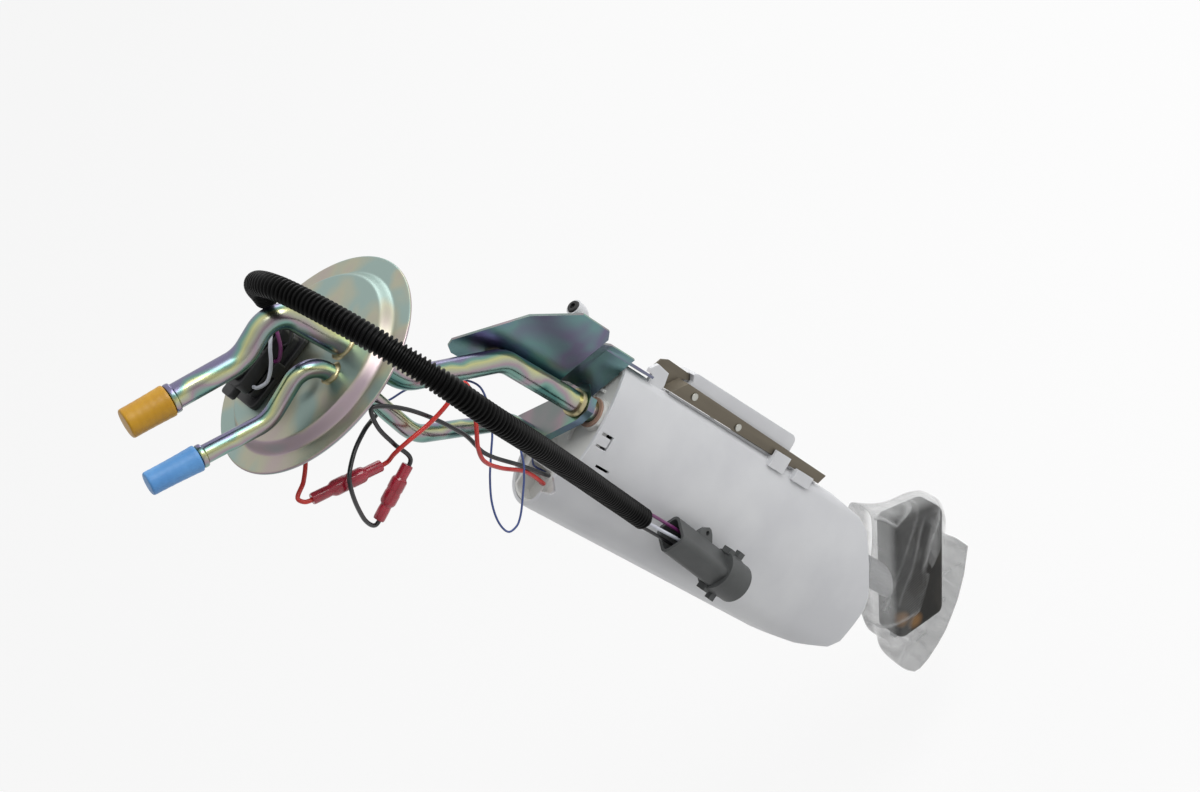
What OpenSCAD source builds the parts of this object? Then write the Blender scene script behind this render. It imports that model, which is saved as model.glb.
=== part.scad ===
// In-tank fuel pump module: a round tank flange with two fuel lines, a reservoir that
// holds the pump, an intake strainer, a level sender and the wiring with its loom.
// The origin is the flange's centre on its sealing rim, and +Z runs up along the lines.

/* [Tank flange] */
// Outer diameter of the flange
flange_d = 127; // [118:0.5:140]
// Thickness of its steel sheet
flange_t = 1.6; // [1:0.1:2.4]
// Diameter of the raised centre's flat top
dish_d = 96; // [92:1:102]
// Height of the raised centre over the sealing rim
dish_h = 5.5; // [3:0.5:8]
// Lean of the flange against the fuel lines, in degrees
flange_lean = 7.5; // [0:0.5:10]

/* [Fuel lines] */
// Outside diameter of the supply line
supply_od = 12.7; // [11:0.1:13.5]
// Outside diameter of the return line
return_od = 9.5; // [8:0.1:11]
// Wall of both lines
line_wall = 0.9; // [0.6:0.1:1.5]
// Length of the supply line's transport cap
supply_cap_len = 22.8; // [18:0.2:30]
// Length of the return line's transport cap
return_cap_len = 26.7; // [20:0.2:34]
// Wall of the transport caps
cap_wall = 1.2; // [0.8:0.1:2]

/* [Reservoir] */
// Distance from the sealing rim down to the reservoir's rim
can_drop = 156; // [146:1:176]
// Length of the reservoir's straight side
can_side = 164; // [150:1:190]
// Depth of the reservoir, front to back
can_depth = 52; // [50:0.5:60]
// Wall of the reservoir
can_wall = 2; // [1.5:0.1:3]
// Thickness of its lid
lid_t = 2.5; // [2:0.1:4]

/* [Pump] */
// Outer diameter of the pump
pump_d = 38.5; // [34:0.5:39]
// Length of the pump's steel shell
pump_len = 78; // [60:1:90]
// Diameter of the pump's shaft
shaft_d = 5; // [4:0.1:6]

/* [Strainer] */
// Thickness of the strainer's frame and mesh
strainer_t = 22; // [14:0.5:26]
// Thickness of the bag's film
bag_t = 0.6; // [0.4:0.1:1]

/* [Level sender] */
// Length of the sender's steel strip
strip_len = 138; // [120:1:150]
// Thickness of the steel strip
strip_t = 1.2; // [0.8:0.1:2]
// Reach of the float arm from its pivot
arm_reach = 118; // [100:1:125]
// Diameter of the float arm's rod
arm_d = 2.4; // [2:0.1:3]
// Length of the float
float_l = 46; // [36:1:52]
// Height of the float
float_h = 24; // [16:1:30]

/* [Hanger] */
// Thickness of the hanger's steel sheet
sheet_t = 1.5; // [1:0.1:2.5]

/* [Wiring] */
// Outside diameter of the corrugated loom
loom_od = 12.5; // [10:0.1:13]
// Diameter of the red and black wires
wire_d = 2.4; // [1.8:0.1:2.8]
// Diameter of the thin blue wire
thin_d = 1.2; // [0.8:0.1:1.6]
// Outside diameter of the plug's round nose
plug_d = 24; // [22:0.2:27]
// Wall of the plug
plug_wall = 1.8; // [1.4:0.1:2.4]

/* [Hidden] */
$fn = 64;

// Clearance of pieces that stand next to each other, and of a running fit
gap = 0.3;
fit = 0.05;
eps = 0.01;

// Both lines: where they pass the flange, and their corners, which lie on [x, y, z]
supply_x = 16;
supply_y = -22;
return_x = 1.5;
return_y = -28.5;
supply_rise = 49.5;
return_rise = 23.3;
supply_slope = 33.7;
return_slope = 36.2;
supply_reach = 61.5;
return_reach = 64;
supply_port = [49.5, -17.7];
return_port = [22.5, 7];
supply_u = [-cos(supply_slope), 0, sin(supply_slope)];
return_u = [-cos(return_slope), 0, sin(return_slope)];
supply_corner = [-13, supply_y, supply_rise];
return_corner = [-32.5, return_y, return_rise];
supply_tip = supply_corner + supply_reach * supply_u;
return_tip = return_corner + return_reach * return_u;
bead_d = 3.2;

// Heights under the flange, all from the reservoir's rim
rim_z = -can_drop;
lid_sink = 2;
lid_top = rim_z - lid_sink;
boss_base = lid_top - 8;
hose_top = boss_base - 0.5;
line_end = hose_top - 13.5;
side_end = rim_z - can_side;
plate_z = rim_z + 12;

// The reservoir's outline: two wide arcs, a round left end and a square right end
can_mid_y = -3;
can_arc_x = 37;
can_arc_r = 126;
can_end_r = 22;
can_corner_r = 8;
can_right = 81;
arc_off = can_arc_r - can_depth / 2;
front_arc = [can_arc_x, can_mid_y + arc_off];
back_arc = [can_arc_x, can_mid_y - arc_off];
left_end = [can_arc_x - sqrt(pow(can_arc_r - can_end_r, 2) - pow(arc_off, 2)), can_mid_y];
corner_x = can_right - can_corner_r;
corner_dy = sqrt(pow(can_arc_r - can_corner_r, 2) - pow(corner_x - can_arc_x, 2)) - arc_off;
front_corner = [corner_x, can_mid_y - corner_dy];
back_corner = [corner_x, can_mid_y + corner_dy];
can_front = can_mid_y - can_depth / 2;

// The reservoir's outline from the front, below its straight side
can_foot = [[can_right, 0], [80.4, -28], [77.5, -52], [72.5, -62], [38, -88.5], [30, -91],
  [6, -91], [-1, -86], [-9, -65], [-14, -32], [-14.5, 0]];

// The pump stands in the reservoir
pump_x = 49;
pump_y = can_mid_y;
pump_top = side_end + 62;
pump_base = pump_top - pump_len;
isolator_t = 2.6;

// The sender's strip and housing stand on the reservoir's right wall
strip_y = -21.5;
strip_top = rim_z - 33;
pivot = [91, 0, rim_z - 114];
housing_y = [-19.8, -7];
arm_end_y = 47;

// The wiring's plug
plug_back = [14, -43, rim_z - 70];
plug_u = unit([-6.5, -1.2, -60]);
plug_len = 61.5;

// Functions and helpers
function unit(v) = v / norm(v);
function lerp(a, b, t) = a + (b - a) * t;
function dip(z) = z * can_drop / 156;
function line_cut(p, u, q, v) = p + u * cross2(q - p, v) / cross2(u, v);
function cross2(a, b) = a[0] * b[1] - a[1] * b[0];
function left(u) = [-u[1], u[0]];
function arc(c, r, a, b, n = 6) = [for (i = [0:n]) c + r * [cos(lerp(a, b, i / n)), sin(lerp(a, b, i / n))]];

// An outline moved inwards by d along every side, for points that run clockwise.
function inset(p, d) = [for (i = [0:len(p) - 1]) let (
    a = p[(i + len(p) - 1) % len(p)], b = p[i], c = p[(i + 1) % len(p)],
    u = unit(b - a), v = unit(c - b))
  abs(cross2(u, v)) < 0.001 ? b - left(u) * d
    : line_cut(b - left(u) * d, u, b - left(v) * d, v)];

// Stands its children's +Z along u, with their origin at a.
module along(a, u) {
  translate(a) rotate([0, acos(u[2]), atan2(u[1], u[0])]) children();
}

// A round rod or bore along corner points p with bend radii r. Each elbow is a hair
// thicker than the straight lengths, which end inside it.
module round_run(p, r, d, grow = 0, swell = 0.04) {
  n = len(p);
  u = [for (i = [0:n - 2]) unit(p[i + 1] - p[i])];
  turn = [for (i = [0:n - 1]) (i == 0 || i == n - 1) ? 0 : acos(u[i - 1] * u[i])];
  cut = [for (i = [0:n - 1]) (i == 0 || i == n - 1) ? -grow : r[i - 1] * tan(turn[i] / 2) - 0.3];
  for (i = [0:n - 2])
    along(p[i] + u[i] * cut[i], u[i])
      cylinder(d = d, h = norm(p[i + 1] - p[i]) - cut[i] - cut[i + 1]);
  for (i = [1:n - 2]) {
    mid = p[i] + unit(u[i] - u[i - 1]) * r[i - 1] / cos(turn[i] / 2);
    x = unit(p[i] - u[i - 1] * r[i - 1] * tan(turn[i] / 2) - mid);
    y = u[i - 1];
    z = cross(x, y);
    multmatrix([[x[0], y[0], z[0], mid[0]], [x[1], y[1], z[1], mid[1]],
        [x[2], y[2], z[2], mid[2]], [0, 0, 0, 1]])
      rotate_extrude(angle = turn[i]) translate([r[i - 1], 0]) circle(d = d + swell);
  }
}

// A round tube with n sides swept along its own list of points.
module swept(p, d, n) {
  m = len(p);
  t = [for (i = [0:m - 1]) unit(p[min(i + 1, m - 1)] - p[max(i - 1, 0)])];
  side = cross(t[0], abs(t[0][2]) < 0.8 ? [0, 0, 1] : [1, 0, 0]);
  frames = carried(t, unit(side));
  rings = [for (i = [0:m - 1]) for (k = [0:n - 1]) let (a = 360 * (k + 0.5) / n)
    p[i] + d / 2 * (cos(a) * frames[i] + sin(a) * cross(t[i], frames[i]))];
  sides = [for (i = [0:m - 2]) for (k = [0:n - 1]) let (j = (k + 1) % n)
    [i * n + k, (i + 1) * n + k, (i + 1) * n + j, i * n + j]];
  polyhedron(points = rings, convexity = 6,
    faces = concat([[for (k = [0:n - 1]) k]], sides, [[for (k = [n - 1:-1:0]) (m - 1) * n + k]]));
}

// Carries a side vector along a path's directions without twist.
function carried(t, s, i = 0) = i >= len(t) ? [] :
  let (v = unit(s - t[i] * (s * t[i]))) concat([v], carried(t, v, i + 1));

// A flat outline with rounded corners, made of exact pieces.
module round_rect(w, h, r) {
  square([w - 2 * r, h], center = true);
  square([w, h - 2 * r], center = true);
  for (x = [-1, 1])
    for (y = [-1, 1])
      translate([x * (w / 2 - r), y * (h / 2 - r)]) circle(r = r);
}

// A smooth step of height h from radius a to radius b, in n straight pieces.
function step(a, b, h, z, n = 8) =
  [for (i = [0:n]) [lerp(a, b, i / n), z + h * (1 + cos(180 * i / n)) / 2]];

// Everything that lies flat on the flange's raised centre.
module on_dish() {
  rotate([0, flange_lean, 0]) translate([0, 0, dish_h + flange_t]) children();
}

// Tank flange

dish_r = dish_d / 2;
shoulder = 6;
conn_at = [-14, 17];
conn_hole = 19;

module flange() {
  color("#a9b0a0")
  difference() {
    rotate([0, flange_lean, 0])
      rotate_extrude($fn = 180)
        polygon(concat([[0, dish_h + flange_t]], step(dish_r, dish_r + shoulder, dish_h, flange_t),
          [[flange_d / 2 - 0.6, flange_t], [flange_d / 2, flange_t - 0.6], [flange_d / 2, 0]],
          [for (i = [8:-1:0]) step(dish_r - flange_t / 2, dish_r + shoulder - flange_t / 2,
              dish_h, 0)[i]],
          [[0, dish_h]]));
    translate([supply_x, supply_y, -30]) cylinder(d = supply_od + 2 * fit, h = 60);
    translate([return_x, return_y, -30]) cylinder(d = return_od + 2 * fit, h = 60);
    on_dish() translate([conn_at[0], conn_at[1], -10]) cylinder(d = conn_hole + 2 * fit, h = 20);
    // Two shallow stampings that locate the flange in its ring
    on_dish() translate([-12, -20, 0.1]) scale([1, 1, 0.1]) sphere(r = 8);
  }
}

// Fuel lines

supply_path = [supply_tip, supply_corner, [supply_x, supply_y, supply_rise],
  [supply_x, supply_y, dip(-36)], [supply_port[0], supply_port[1], dip(-85)],
  [supply_port[0], supply_port[1], line_end]];
supply_bends = [20, 14, 22, 18];
return_path = [return_tip, return_corner, [return_x, return_y, return_rise],
  [return_x, return_y, dip(-14)], [return_x - 7, return_y, dip(-54)],
  [return_port[0], return_port[1], dip(-128)], [return_port[0], return_port[1], line_end]];
return_bends = [18, 13, 30, 26, 16];

module bead(at, u, od) {
  along(at, u) rotate_extrude() translate([od / 2 - 0.4, 0]) circle(d = bead_d, $fn = 32);
}

module supply_line() {
  color("#c4c0a4")
  difference() {
    union() {
      round_run(supply_path, supply_bends, supply_od);
      bead(supply_tip - supply_u * (supply_cap_len - cap_wall + bead_d / 2 + gap), supply_u, supply_od);
      translate([supply_port[0], supply_port[1], plate_z + sheet_t + 0.3])
        cylinder(d = supply_od + 3.4, h = 3.2);
    }
    round_run(supply_path, supply_bends, supply_od - 2 * line_wall, 1);
  }
}

module return_line() {
  color("#b9bda6")
  difference() {
    union() {
      round_run(return_path, return_bends, return_od);
      bead(return_tip - return_u * (return_cap_len - cap_wall + bead_d / 2 + gap), return_u, return_od);
    }
    round_run(return_path, return_bends, return_od - 2 * line_wall, 1);
  }
}

// A soft cap that is pushed on a line's end, with a slight draft and a rounded end.
module line_cap(tip, u, od, len, flare) {
  r = od / 2 + fit;
  edge = 1.2;
  along(tip + u * (cap_wall + fit), u)
    rotate_extrude()
      polygon(concat([[0, 0]],
        [for (a = [0:15:90]) [r + cap_wall - edge + edge * sin(a), edge * (cos(a) - 1)]],
        [[r + cap_wall + flare, -len], [r + 0.2, -len], [r, -len + 1], [r, -cap_wall], [0, -cap_wall]]));
}

module supply_cap() {
  color("#c9a21c")
  line_cap(supply_tip, supply_u, supply_od, supply_cap_len, 0.5);
}

module return_cap() {
  color("#5f95c9")
  line_cap(return_tip, return_u, return_od, return_cap_len, 0.7);
}

// Wiring through the flange

conn_w = 46;
conn_d = 24;
conn_h = 7;

module bulkhead_connector() {
  color("#1b1b1d")
  on_dish() translate([conn_at[0], conn_at[1], 0]) {
    difference() {
      union() {
        translate([0, 0, gap / 3]) linear_extrude(3) round_rect(conn_w, conn_d, 4);
        translate([1, 0, 3]) linear_extrude(conn_h - 3 + gap / 3) round_rect(conn_w - 8, conn_d - 4, 3);
      }
      translate([1, 0, 3.4]) linear_extrude(conn_h) round_rect(conn_w - 12, conn_d - 8, 2);
    }
    // The spigot goes down through the flange and carries a snap ring
    translate([0, 0, -12]) cylinder(d = conn_hole, h = 13);
    translate([0, 0, -12]) cylinder(d = conn_hole + 3, h = 12 - flange_t - gap);
    for (y = [-1, 1])
      translate([-4, y * (conn_d / 2 - 0.5) - 1.5, 3]) cube([8, 3, 5]);
  }
}

plug_h = 13;

module harness_plug() {
  color("#232326")
  on_dish() translate([conn_at[0] + 1, conn_at[1], 3.6]) {
    linear_extrude(5) round_rect(conn_w - 12.6, conn_d - 8.6, 1.8);
    translate([0, 0, 5]) linear_extrude(plug_h - 5) round_rect(conn_w - 6, conn_d - 2, 4);
    translate([-9, 0, plug_h]) linear_extrude(4) round_rect(16, conn_d - 6, 4);
    translate([10, 0, plug_h]) linear_extrude(2.5) round_rect(14, conn_d - 5, 3);
    translate([-conn_w / 2 + 1, 0, 6]) linear_extrude(4) round_rect(8, 10, 2);
  }
}

// The loom's own route, from behind the supply line's bend to the plug
loom_route = [[16, 10, 36], [18, 6, 43], [19.5, 0, 50], [21, -8, 55.5], [22.5, -17, 58.5],
  [24, -27, 59.5], [25.5, -38, 57.5], [27, -55, 50], [28, -74, 37], [28, -91, 20], [27, -103, -3],
  [25, -106, -30], [23.5, -99, -62], [21.5, -85, -95], [19.5, -70, -127], [17.5, -57, -155],
  [15.5, -47, -184], [14, -43, -204]];

module loom() {
  color("#161617")
  swept([for (q = loom_route) [q[0], q[1], q[2] < 0 ? dip(q[2]) : q[2]]], loom_od, 12);
}

// The harness's three wires, from the plug's front up to the loom's first end
loom_in = unit(loom_route[1] - loom_route[0]);
loom_side = unit(cross(loom_in, [0, 1, 0]));
strand_d = 2;
function strand_end(a, back) = loom_route[0] - back * loom_in
  + 2.7 * (cos(a) * loom_side + sin(a) * cross(loom_in, loom_side));
white_start = [[-25, 5.8, 20], [-24, 2.5, 19.5], [-19, 0.5, 18], [-11, 0.5, 21], [-3, 2, 26]];
purple_start = [[-9, 5.8, 17], [-7, 2.5, 17.5], [-1, 1.5, 21], [5, 4, 26]];
grey_start = [[0, 5.8, 18], [3, 2.5, 17.5], [9, 3, 20], [14, 5, 25]];

module harness_wires() {
  color("#b9bbc2") swept(concat(white_start, [strand_end(200, 5), strand_end(200, 0.2)]), strand_d, 8);
  color("#5b2148") swept(concat(purple_start, [strand_end(80, 5), strand_end(80, 0.2)]), strand_d, 8);
  color("#77736a") swept(concat(grey_start, [strand_end(320, 5), strand_end(320, 0.2)]), strand_d, 8);
}

// The loom's plug, along its own axis from the open back to the round nose
box_len = 42.5;
box_w = plug_d - 4.5;
box_d = plug_d - 8;
box_turn = -49;
plug_seal_at = 20;
core_end = box_len + 2;
nose_r = plug_d / 2;
nose_len = 7;
plug_az = atan2(plug_u[1], plug_u[0]);
plug_ex = [cos(plug_az) * plug_u[2], sin(plug_az) * plug_u[2], -sqrt(1 - pow(plug_u[2], 2))];
plug_ey = [-sin(plug_az), cos(plug_az), 0];
plug_pins_at = [[-0.4, 3], [4.2, 0.5], [-4.2, 0.2]];
pin_d = 2;

module plug_frame() {
  along(plug_back, plug_u) children();
}

function plug_point(p, z) = plug_back + p[0] * plug_ex + p[1] * plug_ey + z * plug_u;

// The three wires' ends that run from the loom into the plug's seal
module plug_wires() {
  start = [loom_route[17][0], loom_route[17][1], dip(loom_route[17][2]) - 1.4];
  for (w = [[-0.4, -3.2, "#b9bbc2", 0], [4.2, 0.6, "#5b2148", 1], [-4.2, 0.4, "#141415", 2]])
    color(w[2])
    swept([start + [w[0], w[1], 0], start + [w[0], w[1], -6],
        plug_point(plug_pins_at[w[3]], 8), plug_point(plug_pins_at[w[3]], plug_seal_at - 0.1)],
      strand_d, 8);
}

module loom_plug() {
  color("#6b6d6b")
  plug_frame()
    difference() {
      union() {
        rotate([0, 0, box_turn]) linear_extrude(box_len) round_rect(box_w, box_d, 4);
        translate([0, 0, box_len - eps]) cylinder(r = nose_r + 0.5, h = plug_len - box_len - nose_len);
        translate([0, 0, plug_len - nose_len - 0.1]) cylinder(r = nose_r, h = nose_len + 0.1);
        // Latch lug with its hole, on the box's upper corner
        rotate([0, 0, -10]) translate([nose_r - 4, 0, 24.5]) rotate([90, 0, 0])
          linear_extrude(4, center = true)
            polygon([[0, -7], [4.6, -4.6], [8, -1.6], [9, 0.4], [8.4, 2.4], [6.4, 4.4], [0, 8]]);
        // Stops where the box meets the nose, and the bayonet keys
        rotate([0, 0, 10])
          for (side = [-1, 1]) {
            translate([side * (nose_r + 0.4), 0, box_len + 1]) cube([3.6, 7, 4], center = true);
            translate([side * (nose_r + 1.4), 0, plug_len - nose_len - 2.6])
              cube([5.6, 4, 4], center = true);
          }
      }
      rotate([0, 0, box_turn]) translate([0, 0, -1]) linear_extrude(plug_seal_at + 5)
        round_rect(box_w - 2 * plug_wall, box_d - 2 * plug_wall, 2.4);
      translate([0, 0, core_end]) cylinder(r = nose_r - plug_wall, h = plug_len);
      rotate([0, 0, -10]) translate([nose_r + 1.4, 4, 25]) rotate([90, 0, 0])
        cylinder(d = 2.8, h = 8, $fn = 32);
      for (p = plug_pins_at)
        translate([p[0], p[1], plug_seal_at]) cylinder(d = pin_d + 2 * fit, h = 30, $fn = 24);
    }
}

module plug_seal() {
  color("#3c4a66")
  plug_frame() translate([0, 0, plug_seal_at]) difference() {
    rotate([0, 0, box_turn]) linear_extrude(3.5)
      round_rect(box_w - 2 * plug_wall - 0.2, box_d - 2 * plug_wall - 0.2, 2.3);
    for (p = plug_pins_at)
      translate([p[0], p[1], -1]) cylinder(d = pin_d + 0.2, h = 6, $fn = 24);
  }
}

module plug_pins() {
  color("#b98d4e")
  plug_frame()
    for (p = plug_pins_at)
      translate([p[0], p[1], plug_seal_at + 4]) {
        cylinder(d = pin_d, h = 22, $fn = 24);
        translate([0, 0, 22 - eps]) cylinder(d = pin_d - 0.5, h = 4.4, $fn = 24);
      }
}

// Wires between the flange and the reservoir

crimp_a = [[-26.5, -33, -43], [-57, -33, -18]];
crimp_b = [[-20, -34, -56], [-51.5, -34, -58]];
sleeve_d = 8.4;
grip_d = 6.2;
barrel_d = 4;

// A pair of bullet connectors: two soft sleeves that meet over a metal barrel.
module sleeve_pair(a, b) {
  u = unit(b - a);
  len = norm(b - a);
  along(a, u) rotate_extrude($fn = 48)
    polygon([[wire_d / 2 + 0.1, 0], [grip_d / 2 - 0.4, 0], [grip_d / 2, 1], [grip_d / 2, 0.22 * len],
      [sleeve_d / 2 - 0.4, 0.26 * len], [sleeve_d / 2, 0.3 * len], [sleeve_d / 2, 0.68 * len],
      [grip_d / 2 - 0.3, 0.74 * len], [grip_d / 2, len - 1], [grip_d / 2 - 0.4, len],
      [wire_d / 2 + 0.1, len], [wire_d / 2 + 0.1, len - 9], [barrel_d / 2 + 0.1, len - 9],
      [barrel_d / 2 + 0.1, 9], [wire_d / 2 + 0.1, 9]]);
}

module barrel_pair(a, b) {
  u = unit(b - a);
  along(a + u * 9.2, u) cylinder(d = barrel_d, h = norm(b - a) - 18.4, $fn = 32);
}

module crimp_sleeves() {
  color("#8f2531") {
    sleeve_pair(crimp_a[0], crimp_a[1]);
    sleeve_pair(crimp_b[0], crimp_b[1]);
  }
}

module crimp_barrels() {
  color("#b9b9b4") {
    barrel_pair(crimp_a[0], crimp_a[1]);
    barrel_pair(crimp_b[0], crimp_b[1]);
  }
}

// The point where a wire ends inside a sleeve, on the sleeve's own axis
function into(pair, from) = let (a = pair[from], b = pair[1 - from]) a + unit(b - a) * 8.8;
function mouth(pair, from) = let (a = pair[from], b = pair[1 - from]) a - unit(b - a) * 3;

term_x = [2.6, 8];
term_y = -10;
red_low = [[term_x[0], term_y, lid_top - 6.2], [term_x[0], term_y - 0.8, rim_z + 1.6], [3.4, -18.3, rim_z + 6],
  [4.6, -23, dip(-132)], [0.5, -30.5, dip(-110)], [0, -35.5, dip(-95)], [4.6, -38, dip(-85.4)],
  [13, -39.3, dip(-77.2)], [22, -40, dip(-68.4)], [28.5, -40, dip(-60.5)], [30, -40, dip(-55.4)],
  [26, -40, dip(-53.2)], [16.8, -40, -53.4], [4.2, -39.5, -50.6], [-11, -39.2, -44.4],
  [-18.2, -37, -43.4], mouth(crimp_a, 0), into(crimp_a, 0)];
red_high = [into(crimp_a, 1), mouth(crimp_a, 1), [-60, -31, -12], [-52, -27, -12.5], [-42, -18, -12],
  [-30, -2, -8.5], [-21, 9, -7.4], [-18, 12, -3.9]];
black_low = [[term_x[1], term_y, lid_top - 6.2], [term_x[1], term_y - 0.8, rim_z + 1.6],
  [8.4, -19, rim_z + 6.5], [6.4, -24.4, dip(-126)], [3.4, -31.5, dip(-96)], [7, -34, dip(-76)],
  [5, -36, dip(-40)], [-3, -37, dip(-18)], [-10, -36, dip(-27)], [-14, -35, dip(-42)],
  mouth(crimp_b, 0), into(crimp_b, 0)];
black_high = [into(crimp_b, 1), mouth(crimp_b, 1), [-53.5, -36.5, -47.5], [-40, -41, -26.4],
  [-28, -33, -25.5], [-16, -25, -29], [-1, -12, -38], [5, -1, -31], [-1, 9, -17], [-9, 13, -9],
  [-10, 13, -4.2]];
blue_run = [[-14, 21, -3.8], [-13.5, 21, -10], [-8, 19, -34], [-2, 16, -56.7], [11, 8, -61.1],
  [20.6, -2, -67.1], [29.9, -10, -75.4], [31.5, -15, -82.5], [26.5, -18, -90], [15.2, -21, -99.9],
  [3.6, -23, -106.2], [-7.1, -25, -111.9], [-17.9, -29, -118.5], [-25.2, -32, -127],
  [-26.9, -33, -135.1], [-20.4, -33, -137.5], [-5.7, -33, -130], [7.3, -31, -122.5],
  [14.2, -28, -117.3], [15.5, -19, -129], [14, -8, -140], [11.5, 0, -149]];

module red_wires() {
  color("#c3261f") {
    swept(red_low, wire_d, 8);
    swept(red_high, wire_d, 8);
  }
}

module black_wires() {
  color("#19191b") {
    swept(black_low, wire_d, 8);
    swept(black_high, wire_d, 8);
  }
}

module blue_wire() {
  color("#3d4f86")
  swept(concat([for (q = blue_run) [q[0], q[1], dip(q[2])]],
      [[8, 4, rim_z], [8, 4, lid_top - 7.3]]), thin_d, 8);
}

// Hanger: a stepped sheet that joins the lines to the reservoir. Its own x runs left and
// back along the sheet, and its own y runs towards the front.

hanger_at = [85, -23];
hanger_turn = 150;
sheet_step = 5.2;

screw_x = [16, 30];
screw_y = -5;
screw_d = 3.8;

module hanger_frame() {
  translate([hanger_at[0], hanger_at[1], rim_z]) rotate([0, 0, hanger_turn]) children();
}

module upright_sheet(outline, y, t) {
  translate([0, y + t, 0]) rotate([90, 0, 0]) linear_extrude(t) polygon(outline);
}

module hanger() {
  color("#8f9a8c") {
    hanger_frame() {
      upright_sheet([[-10.9, 53.4], [6.4, 76.3], [42.4, 97.8], [46.8, 96.5], [49.4, 92], [49.4, 85.3],
          [44.3, 75.5], [31, 36], [30, 29], [-6, 29], [-10.6, 33]], sheet_step, sheet_t);
      // The joggle between the upper and the lower sheet
      translate([-1.4, 0, 0]) rotate([90, 0, 90]) linear_extrude(32.4)
        polygon([[sheet_step + sheet_t - 0.05, 31], [sheet_step + 0.05, 31], [0, 20], [0, 1],
          [sheet_t, 1], [sheet_t, 19.4]]);
      // Foot on the lid, with its two screw holes
      difference() {
        translate([11, -8.7, 0.05]) cube([24.6, 9.9, sheet_t]);
        for (x = screw_x)
          translate([x, screw_y, -1]) cylinder(d = screw_d + 2 * fit, h = 9, $fn = 32);
      }
    }
    cross_plate();
    // Strap down the reservoir's right wall
    translate([can_right + 1, hanger_at[1] - 0.4, rim_z - 18]) cube([sheet_t, 13, 39]);
  }
}

// Plate across both lines just over the lid, with its front edge folded down.
plate = [[15, 2], [20.5, -2.6], [42, -24], [49.5, -27.4], [56.8, -24.4], [62, -17], [60, -8],
  [48, 0], [27, 22], [18, 19], [13.5, 10]];
plate_inner = inset(plate, -sheet_t);
lip_h = 3.4;

module cross_plate() {
  difference() {
    translate([0, 0, plate_z]) linear_extrude(sheet_t) polygon(plate);
    translate([supply_port[0], supply_port[1], plate_z - 1]) cylinder(d = supply_od + 2 * fit, h = 9);
    translate([return_port[0], return_port[1], plate_z - 1]) cylinder(d = return_od + 2 * fit, h = 9);
  }
  translate([0, 0, plate_z - lip_h]) linear_extrude(lip_h + eps)
    polygon(concat([for (i = [0:4]) plate[i]], [for (i = [4:-1:0]) plate_inner[i]]));
}

module hanger_screws() {
  color("#6d6f6c")
  hanger_frame()
    for (x = screw_x)
      translate([x, screw_y, 0.1 + sheet_t]) {
        cylinder(d = 7, h = 3, $fn = 48);
        cylinder(d = 8.5, h = 0.8, $fn = 48);
        translate([0, 0, -9]) cylinder(d = screw_d, h = 10, $fn = 48);
      }
}

// Small vent pipe behind the hanger: up from the lid, across and up to its open end
vent_od = 9.4;
vent_path = [[60, 8, lid_top + 0.05], [60, 8, rim_z + 16], [92, 8, rim_z + 22],
  [93.4, 8, rim_z + 30]];

module vent_tower() {
  color("#dfe0dc")
  difference() {
    union() {
      round_run(vent_path, [8, 5.5], vent_od);
      translate(vent_path[0]) cylinder(d = vent_od + 5, h = 1.8);
    }
    round_run(vent_path, [8, 5.5], vent_od - 4, 1);
  }
}

module vent_cap() {
  color("#1c1c1e")
  along(vent_path[3], unit(vent_path[3] - vent_path[2])) rotate_extrude()
    polygon([[0, -3], [vent_od / 2 - 2.05, -3], [vent_od / 2 - 2.05, 0.1], [vent_od / 2 - 0.8, 0.1],
      [vent_od / 2 - 1.4, 1.2], [1.6, 1.2], [1.6, -0.6], [0, -0.6]]);
}

// Reservoir

// The round ends stand a hair proud, so that they cross the arcs instead of only touching
proud = 0.02;

module can_outline(d) {
  x0 = (front_arc + unit(left_end - front_arc) * (can_arc_r - d))[0];
  x1 = (front_arc + unit(front_corner - front_arc) * (can_arc_r - d))[0];
  intersection() {
    translate(front_arc) circle(r = can_arc_r - d, $fn = 256);
    translate(back_arc) circle(r = can_arc_r - d, $fn = 256);
    translate([x0, can_mid_y - can_depth]) square([x1 - x0, 2 * can_depth]);
  }
  translate(left_end) circle(r = can_end_r - d + proud);
  for (c = [front_corner, back_corner])
    translate(c) circle(r = can_corner_r - d + proud);
  translate([corner_x - 4, front_corner[1]])
    square([can_corner_r + 4 - d, back_corner[1] - front_corner[1]]);
}

// The reservoir's solid shape, moved inwards by d and cut off at height top.
module can_body(d, top) {
  intersection() {
    translate([0, 0, side_end - 110]) linear_extrude(110 + top - side_end) can_outline(d);
    translate([0, can_mid_y + can_depth, side_end]) rotate([90, 0, 0])
      linear_extrude(2 * can_depth) polygon(can_side_outline(d, top - side_end));
  }
}

function can_side_outline(d, top) =
  concat([[-30, top], [can_right + 15, top]], [for (q = inset(concat([[can_right + 0.001, 50]],
    can_foot, [[-14.501, 50]]), d)) if (q[1] < 40) q[0] > can_right - 4 && q[1] > -10
      ? [can_right + 15, q[1]] : q[0] < -10 && q[1] > -10 ? [-30, q[1]] : q]);

outlet_neck = [52, pump_y - 6];
neck_bore = 15;
cradle_x = pump_x - 25;

// Web across the reservoir that holds the pump's isolator
module cradle() {
  color("#e3e4e5")
  translate([0, 0, pump_base + 22]) linear_extrude(3) difference() {
    intersection() {
      can_outline(can_wall + gap);
      translate([cradle_x, can_mid_y - can_depth]) square([can_right - cradle_x, 2 * can_depth]);
    }
    translate([pump_x, pump_y]) circle(d = pump_d + 2 * isolator_t + 2 * fit);
    translate([pump_x + 24, pump_y + 9]) circle(d = 7);
  }
}

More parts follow.
